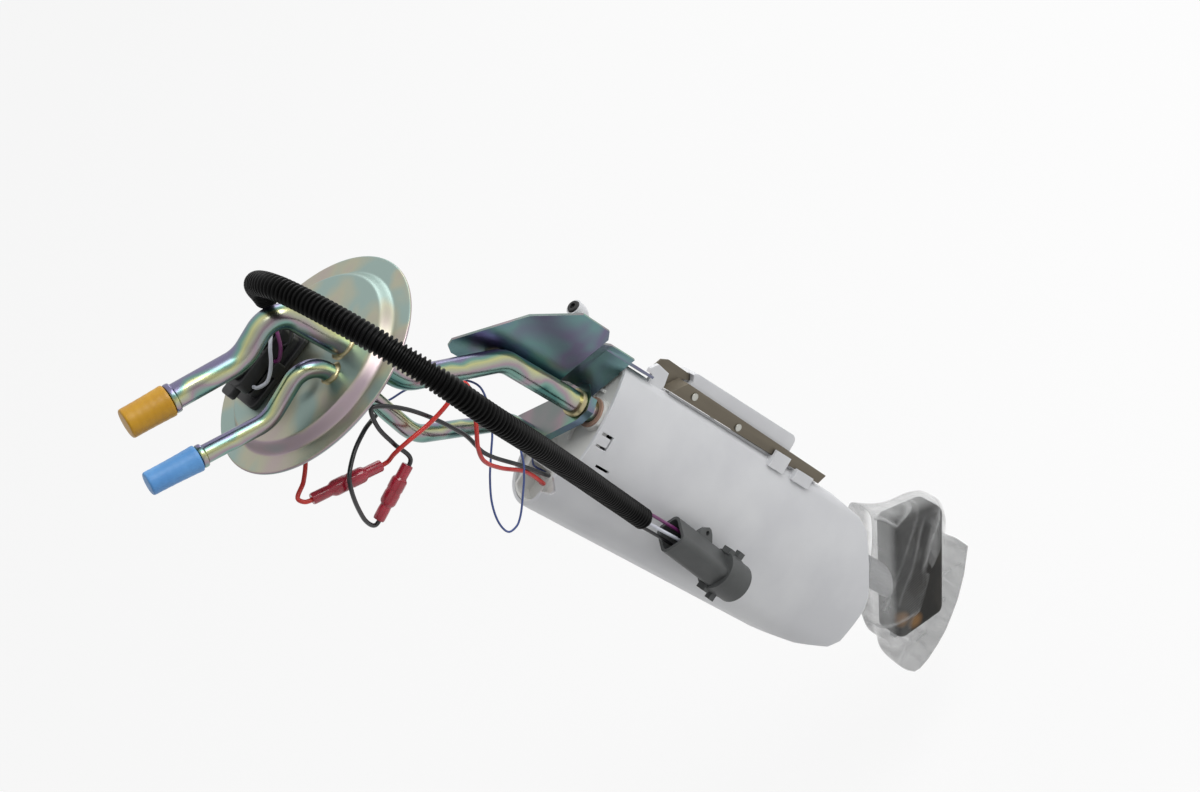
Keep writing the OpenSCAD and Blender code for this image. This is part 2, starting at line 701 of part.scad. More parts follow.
module reservoir() {
  color("#e6e7e8")
  difference() {
    union() {
      can_body(0, rim_z);
      // Raised wall beside the terminals, with a notch for the leads
      intersection() {
        translate([0, 0, rim_z - 1]) linear_extrude(9) difference() {
          can_outline(0);
          can_outline(can_wall);
        }
        translate([0, can_mid_y - 4, rim_z]) rotate([90, 0, 0]) linear_extrude(can_depth)
          polygon([[-15, -1], [-12.5, 3], [-1, 7.4], [0.6, 1.2], [3, 0.6], [9, 7.6], [13, 8], [13, -1]]);
      }
      // Pad under the level sender
      translate([can_right - 1, -20, side_end - 6]) cube([1.2, 14, can_side - 30]);
      // Wing of the wall in front of the strip's tab
      translate([0, strip_y + 3.9, rim_z]) rotate([90, 0, 0]) linear_extrude(2.4)
        polygon([[can_right - 3, -18.8], [can_right + 3.2, -18.8], [can_right + 3.2, -15.8],
            [can_right + 5.6, -15.5], [can_right + 9.8, -19.2],
            [can_right + 8.4, -28.6], [can_right + 1.6, -30.4], [can_right - 3, -30.4]]);
      // Two hooks over the edge of the sender's strip
      for (h = [[138, 13, 10.2], [162, 15, 7.3]])
        translate([can_right - 6, strip_y - 3.7, rim_z - h[0]]) {
          cube([6.1, 8, h[1]]);
          cube([h[2], 2.2, h[1]]);
        }
      // Neck that the strainer clips into
      translate([outlet_neck[0], outlet_neck[1], side_end - 84]) cylinder(d = 21, h = 14);
    }
    can_body(can_wall, rim_z + 1);
    translate([outlet_neck[0], outlet_neck[1], side_end - 90]) cylinder(d = neck_bore, h = 30);
    // Latch window of the lid and the slot beside it
    translate([39.5 - 4.3, can_front - 5, rim_z - 11.4]) difference() {
      cube([8.6, 10, 8.6]);
      translate([1.4, -1, 1.4]) cube([5.4, 12, 8]);
    }
    translate([25.2, can_front - 5, rim_z - 21.2]) cube([1.5, 12, 10.7]);
    translate([23.4, can_front - 5, rim_z - 20.6]) cube([2.4, 5.9, 7.6]);
    // Drain slots of the jet pump, low in the left end
    for (i = [0:3])
      translate([-30, can_mid_y - 5 + i * 3, side_end - 40]) cube([20, 1.4, 12]);
  }
}

// Lid, recessed in the rim
module lid() {
  color("#dddee0")
  difference() {
    union() {
      translate([0, 0, lid_top - lid_t]) linear_extrude(lid_t) can_outline(can_wall + 0.15);
      translate([0, 0, lid_top - 6]) linear_extrude(6) difference() {
        can_outline(can_wall + 0.4);
        can_outline(can_wall + 1.9);
      }
      translate([0, 0, boss_base]) linear_extrude(12) intersection() {
        can_outline(can_wall + gap);
        for (q = [[supply_port, supply_od], [return_port, return_od]])
          translate(q[0]) circle(d = q[1] + 6);
      }
      hanger_frame()
        for (x = screw_x)
          translate([x, screw_y, -lid_sink - lid_t]) cylinder(d = 8, h = lid_sink + lid_t);
      // Walls of the terminal pocket
      translate([0, 0, lid_top - 10]) linear_extrude(12.5) intersection() {
        can_outline(can_wall + 0.6);
        translate([-20, -14]) square([32, 24]);
      }
      // Ribs between the bosses
      translate([30, -8, lid_top - 1]) cube([40, 1.6, 3]);
      translate([62, -14, lid_top - 1]) cube([1.6, 13, 3]);
    }
    for (q = [[supply_port, supply_od], [return_port, return_od]])
      translate([q[0][0], q[0][1], lid_top - 10]) cylinder(d = q[1] + 2.4, h = 20);
    translate([0, 0, lid_top - 7.5]) linear_extrude(12) intersection() {
      can_outline(can_wall + 2.2);
      translate([-20, -12.4]) square([30.4, 20.8]);
    }
    for (x = term_x)
      translate([x - 0.5, term_y - 2.1, lid_top - 12]) cube([1, 4.2, 8]);
    hanger_frame()
      for (x = screw_x)
        translate([x, screw_y, -12]) cylinder(d = screw_d + 2 * fit, h = 14, $fn = 48);
  }
}

module lid_terminals() {
  color("#8a5a3a") {
    for (x = term_x) {
      translate([x - 2, term_y - 2.2, lid_top - 7.4]) cube([4, 6, 1]);
      translate([x - 0.4, term_y - 2, lid_top - 16]) cube([0.8, 4, 9]);
    }
  }
}

module line_seals() {
  color("#202022")
  for (q = [[supply_port, supply_od], [return_port, return_od]])
    translate([q[0][0], q[0][1], lid_top - 6]) rotate_extrude()
      polygon([[q[1] / 2 + 0.02, 0], [q[1] / 2 + 1.18, 0], [q[1] / 2 + 1.18, 10.1], [q[1] / 2 + 2.4, 10.1],
        [q[1] / 2 + 2.4, 11.4], [q[1] / 2 + 0.02, 11.4]]);
}

// Pump and what joins it to the lines

hose_t = 1.5;
bend_swell = 0.4;
outlet_x = pump_x - 9;
jet_at = [14, can_mid_y, side_end - 85];
outlet_path = [[supply_port[0], supply_port[1], hose_top],
  [supply_port[0], supply_port[1], line_end - 9], [outlet_x, pump_y, line_end - 30],
  [outlet_x, pump_y, pump_top + 13]];
return_hose_path = [[return_port[0], return_port[1], hose_top],
  [return_port[0], return_port[1], line_end - 8], [jet_at[0], jet_at[1], line_end - 38],
  [jet_at[0], jet_at[1], jet_at[2] + 32]];

module outlet_hose() {
  color("#1d1d1f")
  difference() {
    round_run(outlet_path, [16, 15], supply_od + 2 * hose_t, 0, bend_swell);
    round_run(outlet_path, [16, 15], supply_od + 2 * fit, 1);
  }
}

module return_hose() {
  color("#1d1d1f")
  difference() {
    round_run(return_hose_path, [16, 16], return_od + 2 * hose_t, 0, bend_swell);
    round_run(return_hose_path, [16, 16], return_od + 2 * fit, 1);
  }
}

module clamp(at, od) {
  translate(at) difference() {
    union() {
      cylinder(d = od + 1, h = 6);
      translate([od / 2 - 0.5, -2, 0]) cube([4, 4, 6]);
    }
    translate([0, 0, -1]) cylinder(d = od + 0.1, h = 8);
  }
}

module hose_clamps() {
  color("#b7b6b0") {
    clamp([outlet_x, pump_y, pump_top + 17], supply_od + 2 * hose_t);
    clamp([supply_port[0], supply_port[1], hose_top - 9], supply_od + 2 * hose_t);
    clamp([return_port[0], return_port[1], hose_top - 9], return_od + 2 * hose_t);
    clamp([jet_at[0], jet_at[1], jet_at[2] + 35], return_od + 2 * hose_t);
  }
}

module isolator() {
  color("#2a2a2c")
  translate([pump_x, pump_y, pump_base + 6]) difference() {
    cylinder(d = pump_d + 2 * isolator_t, h = pump_len - 20);
    translate([0, 0, -1]) cylinder(d = pump_d + 2 * fit, h = pump_len);
    for (a = [0:30:330])
      rotate([0, 0, a]) translate([pump_d / 2 + isolator_t, 0, -1]) cylinder(d = 2.4, h = pump_len, $fn = 24);
  }
}

module pump_shell() {
  color("#b3b3ad")
  translate([pump_x, pump_y, pump_base]) difference() {
    cylinder(d = pump_d, h = pump_len);
    translate([0, 0, -1]) cylinder(d = pump_d - 3, h = pump_len + 2);
  }
}

post_at = [[8, -11], [14, -4]];

module outlet_end() {
  color("#3a3a3c")
  translate([pump_x, pump_y, pump_top]) difference() {
    union() {
      translate([0, 0, -10]) cylinder(d = pump_d - 3.1, h = 10.1);
      translate([0, 0, 0.1]) cylinder(d = pump_d, h = 5);
      translate([-9, 0, 5]) cylinder(d = supply_od - 0.1, h = 24);
      for (p = post_at)
        translate([p[0], p[1], 5]) cylinder(d = 4, h = 7, $fn = 32);
    }
    translate([-9, 0, 4]) cylinder(d = supply_od - 4, h = 30);
    translate([-9, 0, -12]) cylinder(d = 4, h = 20);
    translate([0, 0, -12]) cylinder(d = shaft_d + 2 * fit, h = 8);
  }
}

// The pump's inlet goes down through the reservoir's neck into the strainer
inlet_d = 11.4;
inlet_at = [outlet_neck[0] - pump_x, outlet_neck[1] - pump_y, side_end - 82 - pump_base];

module inlet_end() {
  color("#3a3a3c")
  translate([pump_x, pump_y, pump_base]) difference() {
    union() {
      cylinder(d = pump_d - 3.1, h = 8);
      translate([0, 0, -5]) cylinder(d = pump_d, h = 4.9);
      translate([0, 0, -0.2]) cylinder(d = pump_d - 3.1, h = 1);
      translate(inlet_at) cylinder(d = inlet_d, h = -inlet_at[2] - 4);
    }
    translate(inlet_at - [0, 0, 1]) cylinder(d = inlet_d - 3, h = -inlet_at[2]);
    translate([inlet_at[0], inlet_at[1], -6]) cylinder(d = 5, h = 20);
    translate([0, 0, 3]) cylinder(d = shaft_d + 2 * fit, h = 8);
  }
}

// Poppet of the outlet's check valve, with its stem
module check_poppet() {
  color("#c9c9c4")
  translate([pump_x - 9, pump_y, pump_top + 4.1]) {
    cylinder(d1 = 5.4, d2 = 6.4, h = 2.2);
    translate([0, 0, 2.2 - eps]) cylinder(d = 2.4, h = 9);
  }
}

module armature() {
  color("#9a7a4c")
  translate([pump_x, pump_y, pump_base]) {
    translate([0, 0, 3.2]) cylinder(d = shaft_d, h = pump_len - 11);
    translate([0, 0, 22]) cylinder(d = pump_d - 14, h = pump_len - 44, $fn = 64);
    translate([0, 0, pump_len - 20]) cylinder(d = 14, h = 7);
    // Impeller with its blades
    translate([0, 0, 9]) difference() {
      cylinder(d = pump_d - 4, h = 3.6);
      for (a = [0:15:345])
        rotate([0, 0, a]) translate([pump_d / 2 - 4.6, -1, -1]) cube([4, 2, 6]);
    }
  }
}

// Jet pump that the return line drives, at the reservoir's low left end
module jet_pump() {
  color("#2f3032")
  translate(jet_at) difference() {
    union() {
      translate([-6, -7, -3]) cube([22, 14, 10]);
      translate([0, 0, 6]) cylinder(d = return_od + 2.4, h = 20);
      translate([0, 0, 20]) cylinder(d = return_od - 0.1, h = 22);
      translate([15, 0, 2]) rotate([0, 90, 0]) cylinder(d = 9, h = 4.5);
    }
    translate([0, 0, 2]) cylinder(d = 4, h = 60);
    translate([-4, 0, 2]) rotate([0, 90, 0]) cylinder(d = 5, h = 40);
  }
}

// Leads from the lid's terminals down to the pump
module pump_leads() {
  for (k = [0, 1]) {
    top = [term_x[k], term_y, lid_top - 16.2];
    post = [pump_x + post_at[k][0], pump_y + post_at[k][1], pump_top + 12.2];
    color(["#c3261f", "#19191b"][k])
    swept([top, top - [0, 0, 12], [14 + 4 * k, -17, line_end - 30], [28 + 4 * k, -20, pump_top + 32],
        [post[0] - 6, post[1] - 4 * k - 1, post[2] + 17], post + [0, 0, 7], post], wire_d, 8);
  }
}

// Strainer under the reservoir, drawn from the front at its back edge

strainer_at = [0, -14, side_end];
strainer_edge = [[85.8, -87.4], [109.6, -112.2], [54.6, -162.5], [24.9, -143.8]];

module strainer_solid(grow, t) {
  translate([0, strainer_at[1] + t / 2, side_end]) rotate([90, 0, 0]) linear_extrude(t)
    polygon(inset(strainer_edge, -grow));
}

module strainer_frame() {
  color("#dcdfe1")
  difference() {
    union() {
      strainer_solid(0.6, 5);
      translate([outlet_neck[0], outlet_neck[1], side_end - 124]) cylinder(d = 18, h = 39);
      translate([outlet_neck[0], outlet_neck[1], side_end - 100])
        cylinder(d = neck_bore - 2 * fit, h = 30);
    }
    strainer_solid(-2.4, 60);
    translate([outlet_neck[0], outlet_neck[1], side_end - 130])
      cylinder(d = inlet_d + 2 * fit, h = 70);
  }
}

module strainer_mesh() {
  color("#3a3530")
  strainer_solid(-2.7, strainer_t);
}

// Clear film bag round the strainer, with its mouth open under the reservoir
bag_edge = [[84, -58], [93, -80], [112.5, -103], [113, -114], [97, -130], [99, -155], [53, -186],
  [12, -180], [11, -150], [20, -130], [33, -97]];
mouth_out = [-2, 5];
bag_front = strainer_at[1] - strainer_t / 2 - 0.1 - bag_t;
bag_back = 1.6;

module strainer_bag() {
  inner = inset(bag_edge, bag_t);
  color([0.9, 0.92, 0.95, 0.3])
  difference() {
    translate([0, bag_back, side_end]) rotate([90, 0, 0]) linear_extrude(bag_back - bag_front)
      polygon(bag_edge);
    translate([0, bag_back - bag_t, side_end]) rotate([90, 0, 0])
      linear_extrude(bag_back - bag_front - 2 * bag_t)
        polygon(concat(inner, [inner[len(inner) - 1] + mouth_out, inner[0] + mouth_out]));
  }
}

// Level sender on the reservoir's right wall

// The strip's top steps back along a slanting fold and ends in a rounded tab
strip_low = can_right + 0.4;
step_back = 6;
tab_y = strip_y - strip_t + step_back;
fold = [[strip_low, strip_top - 1.8], [can_right + 9.4, strip_top - 9.6]];

module fold_bar(y, up) {
  translate([0, y + strip_t, up]) rotate([90, 0, 0]) linear_extrude(strip_t)
    polygon([fold[0], fold[1], fold[1] - [0, 1.4], fold[0] - [0, 1.4]]);
}

module sender_strip() {
  color("#6b655c") {
    translate([0, strip_y, 0]) rotate([90, 0, 0]) linear_extrude(strip_t) difference() {
      polygon([fold[0], fold[1],
          [can_right + 6.8, strip_top - strip_len - 1], [strip_low, strip_top - strip_len + 1.4]]);
      translate([can_right + 5, strip_top - 18]) circle(d = 3.2, $fn = 32);
      translate([can_right + 3.4, strip_top - 58]) circle(d = 3.2, $fn = 32);
    }
    hull() {
      fold_bar(strip_y - strip_t, 0);
      fold_bar(tab_y, 3.4);
    }
    translate([0, tab_y + strip_t, 0]) rotate([90, 0, 0]) linear_extrude(strip_t) {
      polygon([fold[0] + [0, 3.4], [can_right + 3.4, strip_top + 13], [can_right + 6, strip_top + 14.4],
          [can_right + 13, strip_top + 11.4], [can_right + 15, strip_top + 6.4],
          [can_right + 14.4, strip_top - 12], [can_right + 11.4, strip_top - 14], fold[1] + [0, 2]]);
    }
    // Flange that lies along the reservoir's wall
    translate([strip_low, strip_y - eps, strip_top - strip_len + 20]) cube([strip_t, 14, 50]);
  }
}

module sender_rivets() {
  color("#cfcfca")
  for (q = [[5, -18], [3.4, -58]])
    translate([can_right + q[0], strip_y - strip_t - 0.8, strip_top + q[1]]) rotate([-90, 0, 0]) {
      cylinder(d = 4.4, h = 0.8, $fn = 32);
      cylinder(d = 3.1, h = strip_t + 1.6, $fn = 32);
    }
}

pivot_d = 5;

module sender_housing() {
  x0 = can_right + 2;
  low = strip_top - 14.4;
  color("#e2e2df")
  difference() {
    union() {
      translate([0, housing_y[1], 0]) rotate([90, 0, 0])
        linear_extrude(housing_y[1] - housing_y[0])
          polygon(concat([[x0, rim_z - 42]], arc([x0 + 8, rim_z - 49], 7, 90, 0),
            arc([x0 + 10.5, rim_z - 134], 4.5, 0, -90), [[x0, rim_z - 138.5]]));
      translate([pivot[0], housing_y[1] - eps, pivot[2]]) rotate([-90, 0, 0])
        cylinder(d = pivot_d + 6, h = 4);
    }
    translate([pivot[0], housing_y[0] + 1.2, pivot[2]]) rotate([-90, 0, 0])
      cylinder(d = pivot_d + 2 * fit, h = 30);
    translate([x0 + 2, housing_y[1] - 3, rim_z - 106]) cube([11.2, 6, 36]);
    // Recess that the foot of the strip's tab lies in
    translate([0, tab_y + strip_t + 0.3, 0]) rotate([90, 0, 0]) linear_extrude(8)
      polygon([[x0 - 1, low], [can_right + 11.8, low], [can_right + 15, low + 2.2],
          [can_right + 15, low + 8], [x0 - 1, low + 8]]);
  }
}

// Resistor card in the housing's front recess
module sender_card() {
  color("#d8d3c4")
  translate([can_right + 4.3, housing_y[1] - 2.8, rim_z - 105.5]) cube([10.6, 1, 35]);
}

// Float arm: one bent rod with a hub on the pivot
arm_y = can_mid_y + can_depth / 2 + 14;
arm_dir = unit([-75, -93]);
arm_far = [pivot[0] + arm_reach * arm_dir[0], pivot[2] + arm_reach * arm_dir[1]];

module float_arm() {
  color("#a7a8a3")
  round_run([[pivot[0], housing_y[0] + 1.8, pivot[2]], [pivot[0], arm_y, pivot[2]],
      [arm_far[0], arm_y, arm_far[1]], [arm_far[0], arm_end_y + 18, arm_far[1]]], [6, 6], arm_d);
}

module arm_clip() {
  color("#ecece8")
  translate([pivot[0], 0, pivot[2]]) rotate([-90, 0, 0]) difference() {
    union() {
      translate([0, 0, housing_y[0] + 1.6]) cylinder(d = pivot_d, h = 20);
      translate([0, 0, housing_y[1] + 4.4]) cylinder(d = pivot_d + 5, h = 4);
      translate([-2, -20, housing_y[1] + 4.4]) cube([4, 20, 2]);
    }
    translate([0, 0, -40]) cylinder(d = arm_d + 0.06, h = 80);
  }
}

module float() {
  color("#1a1a1b")
  translate([arm_far[0], arm_y + 6.4, arm_far[1]]) rotate([-90, 0, 0]) difference() {
    translate([0, 0, 0]) linear_extrude(20) round_rect(float_l, float_h, 5);
    translate([0, 0, -1]) cylinder(d = arm_d + 0.1, h = 40);
  }
}

flange();
supply_line();
return_line();
supply_cap();
return_cap();
bulkhead_connector();
harness_plug();
harness_wires();
loom();
plug_wires();
loom_plug();
plug_seal();
plug_pins();
red_wires();
black_wires();
blue_wire();
crimp_sleeves();
crimp_barrels();
hanger();
hanger_screws();
vent_tower();
vent_cap();
reservoir();
lid();
lid_terminals();
line_seals();
outlet_hose();
return_hose();
hose_clamps();
cradle();
isolator();
pump_shell();
outlet_end();
inlet_end();
check_poppet();
armature();
jet_pump();
pump_leads();
strainer_frame();
strainer_mesh();
strainer_bag();
sender_strip();
sender_rivets();
sender_housing();
sender_card();
float_arm();
arm_clip();
float();
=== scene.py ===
"""Looks of an in-tank fuel pump module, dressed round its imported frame.

Every length in this file is in millimetres in the row frame, and becomes metres when a
mesh is made. Z runs up along the fuel lines, -Y is the side of the loom and its plug.
"""

import logging
import math
from collections.abc import Sequence
from dataclasses import dataclass, field
from enum import Enum

import bmesh
import bpy
import numpy as np
from mathutils import Matrix, Vector
from numpy.typing import ArrayLike


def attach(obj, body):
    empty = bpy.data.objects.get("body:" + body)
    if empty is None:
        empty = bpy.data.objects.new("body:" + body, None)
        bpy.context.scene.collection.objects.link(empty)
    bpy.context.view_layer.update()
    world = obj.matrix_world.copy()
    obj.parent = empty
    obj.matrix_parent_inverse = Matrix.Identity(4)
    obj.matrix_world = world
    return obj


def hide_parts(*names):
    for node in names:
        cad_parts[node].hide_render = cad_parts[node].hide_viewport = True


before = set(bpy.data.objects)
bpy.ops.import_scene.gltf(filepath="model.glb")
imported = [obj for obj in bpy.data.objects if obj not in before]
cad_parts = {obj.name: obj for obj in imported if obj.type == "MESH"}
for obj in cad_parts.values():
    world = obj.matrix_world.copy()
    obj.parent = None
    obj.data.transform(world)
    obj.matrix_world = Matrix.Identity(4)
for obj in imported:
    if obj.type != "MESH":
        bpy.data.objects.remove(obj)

LOG = logging.getLogger("fuel_pump_module")
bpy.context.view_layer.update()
MM = 0.001
MODULE = "module"

Points = np.ndarray
Faces = list[tuple[int, ...]]
Finishes = dict[str, bpy.types.Material]


# Geometry worked out on grids


def unit(v: ArrayLike) -> Points:
    """Returns v as an array of length one."""
    v = np.asarray(v, float)
    return v / np.linalg.norm(v)


def rounded_route(points: ArrayLike, radii: Sequence[float], step: float = 1.0) -> Points:
    """Walks along straight lengths joined by circular bends.

    Each corner is replaced by the arc of its radius that touches both lengths; the bend
    starts radius * tan(turn / 2) before the corner.

    Args:
        points: the corners, first and last being the ends.
        radii: one bend radius for each inner corner.
        step: distance between the route's points.

    Returns:
        An (n, 3) array along the route.
    """
    keys = np.asarray(points, float)
    parts, start = [], keys[0]
    for corner, before, after, radius in zip(keys[1:-1], keys[:-2], keys[2:], radii):
        come, go = unit(corner - before), unit(after - corner)
        turn = math.acos(float(np.clip(come @ go, -1, 1)))
        reach = radius * math.tan(turn / 2)
        bend_start, bend_end = corner - come * reach, corner + go * reach
        middle = corner + unit(go - come) * radius / math.cos(turn / 2)
        out = unit(bend_start - middle)
        count = max(2, math.ceil(np.linalg.norm(bend_start - start) / step))
        share = np.linspace(0, 1, count, endpoint=False)[:, None]
        parts.append(start + share * (bend_start - start))
        count = max(4, math.ceil(radius * turn / step))
        angle = np.linspace(0, turn, count, endpoint=False)[:, None]
        parts.append(middle + radius * (np.cos(angle) * out + np.sin(angle) * come))
        start = bend_end
    count = max(2, math.ceil(np.linalg.norm(keys[-1] - start) / step))
    parts.append(start + np.linspace(0, 1, count + 1)[:, None] * (keys[-1] - start))
    return np.vstack(parts)


def smooth_route(points: ArrayLike, step: float = 1.0, fineness: int = 24) -> Points:
    """Draws one smooth curve through points and spaces it evenly.

    Each stretch is the cubic through its ends. The slope at an end runs along the chord
    between that end's neighbours, scaled by the stretch's share of both lengths there.

    Args:
        points: the points that the curve passes through.
        step: distance between the points that are returned.
        fineness: points worked out on each stretch before they are spaced.

    Returns:
        An (n, 3) array along the curve.
    """
    keys = np.asarray(points, float)
    held = np.vstack([2 * keys[0] - keys[1], keys, 2 * keys[-1] - keys[-2]])
    t = np.linspace(0, 1, fineness, endpoint=False)[:, None]
    h = [2 * t**3 - 3 * t**2 + 1, t**3 - 2 * t**2 + t, -2 * t**3 + 3 * t**2, t**3 - t**2]
    parts = []
    for before, start, end, after in zip(held[:-3], held[1:-2], held[2:-1], held[3:]):
        chord = np.linalg.norm(end - start)
        leave = (end - before) * chord / (chord + np.linalg.norm(start - before))
        arrive = (after - start) * chord / (chord + np.linalg.norm(after - end))
        parts.append(h[0] * start + h[1] * leave + h[2] * end + h[3] * arrive)
    parts.append(keys[-1:])
    line = np.vstack(parts)
    s = along(line)
    even = np.linspace(0, s[-1], max(2, round(s[-1] / step)) + 1)
    return np.stack([np.interp(even, s, line[:, k]) for k in range(3)], axis=1)


def along(path: Points) -> Points:
    """Returns the distance from the path's start to each of its points."""
    return np.concatenate([[0], np.cumsum(np.linalg.norm(np.diff(path, axis=0), axis=1))])


def carried_frames(path: Points) -> tuple[Points, Points]:
    """Carries two side vectors along a path without twist.

    At each point the vector of the point before loses what runs along the path there.

    Args:
        path: an (n, 3) array of points.

    Returns:
        Two (n, 3) arrays of unit vectors at right angles to the path and each other.
    """
    ahead = np.gradient(path, axis=0)
    ahead /= np.linalg.norm(ahead, axis=1, keepdims=True)
    side = np.empty_like(ahead)
    carried = np.cross(ahead[0], [0, 0, 1] if abs(ahead[0][2]) < 0.8 else [1, 0, 0])
    for k, way in enumerate(ahead):
        carried = unit(carried - way * (carried @ way))
        side[k] = carried
    return side, np.cross(ahead, side)


def rings(path: Points, radius: ArrayLike, around: int) -> Points:
    """Sets a circle of the given radius square to each point of a path.

    Args:
        path: an (n, 3) array of points.
        radius: one radius, or one for each point.
        around: how many points each circle has.

    Returns:
        An (n, around, 3) grid.
    """
    side, up = carried_frames(path)
    turn = np.linspace(0, 2 * np.pi, around, endpoint=False)[:, None]
    out = side[:, None] * np.cos(turn) + up[:, None] * np.sin(turn)
    return path[:, None] + np.broadcast_to(radius, len(path))[:, None, None] * out


def grid_faces(rows: int, cols: int, loop_rows: bool = False, loop_cols: bool = True) -> Points:
    """Joins the points of a grid by quads.

    Args:
        rows: how many rows of points the grid has.
        cols: how many points each row has.
        loop_rows: whether the last row joins the first.
        loop_cols: whether the last point of a row joins its first.

    Returns:
        An (n, 4) array of point numbers.
    """
    i, j = np.meshgrid(np.arange(rows if loop_rows else rows - 1),
                       np.arange(cols if loop_cols else cols - 1), indexing="ij")
    k, m = (i + 1) % rows, (j + 1) % cols
    return np.stack([i * cols + j, i * cols + m, k * cols + m, k * cols + j], -1).reshape(-1, 4)


@dataclass
class Shell:
    """Points and faces of one piece, gathered from one or more grids."""

    points: list[Points] = field(default_factory=list)
    faces: Faces = field(default_factory=list)
    count: int = 0

    def add(self, points: Points, faces: Sequence[Sequence[int]]) -> "Shell":
        """Adds points and the faces that index them.

        Args:
            points: an array of points, of any shape that ends in 3.
            faces: the point numbers of each face, counted from the first new point.

        Returns:
            The shell itself.
        """
        self.points.append(np.asarray(points, float).reshape(-1, 3))
        self.faces += [tuple(int(i) + self.count for i in f) for f in faces]
        self.count += len(self.points[-1])
        return self

    def grid(self, points: Points, loop_rows: bool = False, loop_cols: bool = True,
             ends: bool = False) -> "Shell":
        """Adds a grid of quads.

        Args:
            points: a (rows, cols, 3) grid.
            loop_rows: whether the last row joins the first.
            loop_cols: whether the last point of a row joins its first.
            ends: whether one face closes the first row and one the last.

        Returns:
            The shell itself.
        """
        rows, cols = points.shape[:2]
        faces = grid_faces(rows, cols, loop_rows, loop_cols).tolist()
        if ends:
            faces += [list(range(cols))[::-1], list(range((rows - 1) * cols, rows * cols))]
        return self.add(points, faces)

    def rod(self, path: Points, radius: ArrayLike, around: int = 12) -> "Shell":
        """Adds a solid round rod along a path."""
        return self.grid(rings(path, radius, around), ends=True)

    def pipe(self, path: Points, outer: ArrayLike, inner: ArrayLike, around: int) -> "Shell":
        """Adds a pipe: the outer wall down the path, and the inner wall back up it."""
        walls = [rings(path, outer, around), rings(path, inner, around)[::-1]]
        return self.grid(np.vstack(walls), loop_rows=True)

    def turned(self, profile: ArrayLike, origin: ArrayLike, axis: ArrayLike, around: int = 64,
               loop: bool = False) -> "Shell":
        """Adds a profile of (radius, height) turned round an axis.

        Args:
            profile: (k, 2) radii and heights; a closed solid starts and ends on the axis.
            origin: the point at height 0.
            axis: direction of growing height.
            around: how many steps the turn has.
            loop: whether the profile is a closed ring clear of the axis.

        Returns:
            The shell itself.
        """
        profile, axis = np.asarray(profile, float), unit(axis)
        x = unit(np.cross(axis, [0, 1, 0] if abs(axis[1]) < 0.9 else [1, 0, 0]))
        y = np.cross(axis, x)
        turn = np.linspace(0, 2 * np.pi, around, endpoint=False)[:, None]
        out = (np.cos(turn) * x + np.sin(turn) * y)[None] * profile[:, 0, None, None]
        grid = np.asarray(origin, float) + out + profile[:, 1, None, None] * axis
        return self.grid(grid, loop_rows=loop)

    def block(self, width: float, depth: float, height: float, corner: float, edge: float,
              place: Matrix) -> "Shell":
        """Adds a moulded block: rounded outlines, drawn in at the bottom and top edges.

        Both edges are quarter rounds: a row at the angle t of a round is drawn in by
        edge * (1 - sin t) and lies edge * (1 - cos t) from the block's end.

        Args:
            width: size along its own x.
            depth: size along its own y.
            height: size along its own z, from 0.
            corner: radius of its four upright corners.
            edge: radius of its bottom and top edges.
            place: matrix that sets it in the row frame.

        Returns:
            The shell itself.
        """
        around, least_radius = 32, 0.05
        t = np.linspace(0, np.pi / 2, 5)
        rise = np.concatenate([edge * (1 - np.cos(t)), height - edge * (1 - np.cos(t[::-1]))])
        drawn = np.concatenate([edge * (1 - np.sin(t)), edge * (1 - np.sin(t[::-1]))])
        turn = np.linspace(0, 2 * np.pi, around, endpoint=False) + np.pi / around
        rows = []
        for z, inset in zip(rise, drawn):
            r = max(corner - inset, least_radius)
            x = np.sign(np.cos(turn)) * (width / 2 - inset - r) + r * np.cos(turn)
            y = np.sign(np.sin(turn)) * (depth / 2 - inset - r) + r * np.sin(turn)
            rows.append(np.stack([x, y, np.full_like(x, z)], axis=1))
        m = np.array(place)
        return self.grid(np.array(rows) @ m[:3, :3].T + m[:3, 3], ends=True)


# Pieces


def put(name: str, shell: Shell, finish: bpy.types.Material, body: str = MODULE,
        stands_for: tuple[str, ...] = (), sharp: float = 40.0) -> bpy.types.Object:
    """Makes a shell a finished piece that rides on a body.

    Args:
        name: the piece's name.
        shell: its points, in millimetres, and its faces.
        finish: its material.
        body: the CAD body that it moves with.
        stands_for: the CAD nodes that it replaces.
        sharp: edges that turn more than this many degrees stay sharp.

    Returns:
        The new object.
    """
    same_point, no_length = 1e-6, 1e-7
    mesh = bpy.data.meshes.new(name)
    mesh.from_pydata((np.vstack(shell.points) * MM).tolist(), [], shell.faces)
    bm = bmesh.new()
    bm.from_mesh(mesh)
    bmesh.ops.remove_doubles(bm, verts=bm.verts, dist=same_point)
    bmesh.ops.dissolve_degenerate(bm, edges=bm.edges, dist=no_length)
    bmesh.ops.recalc_face_normals(bm, faces=bm.faces)
    bm.to_mesh(mesh)
    bm.free()
    return finished(name, mesh, finish, body, stands_for, sharp)


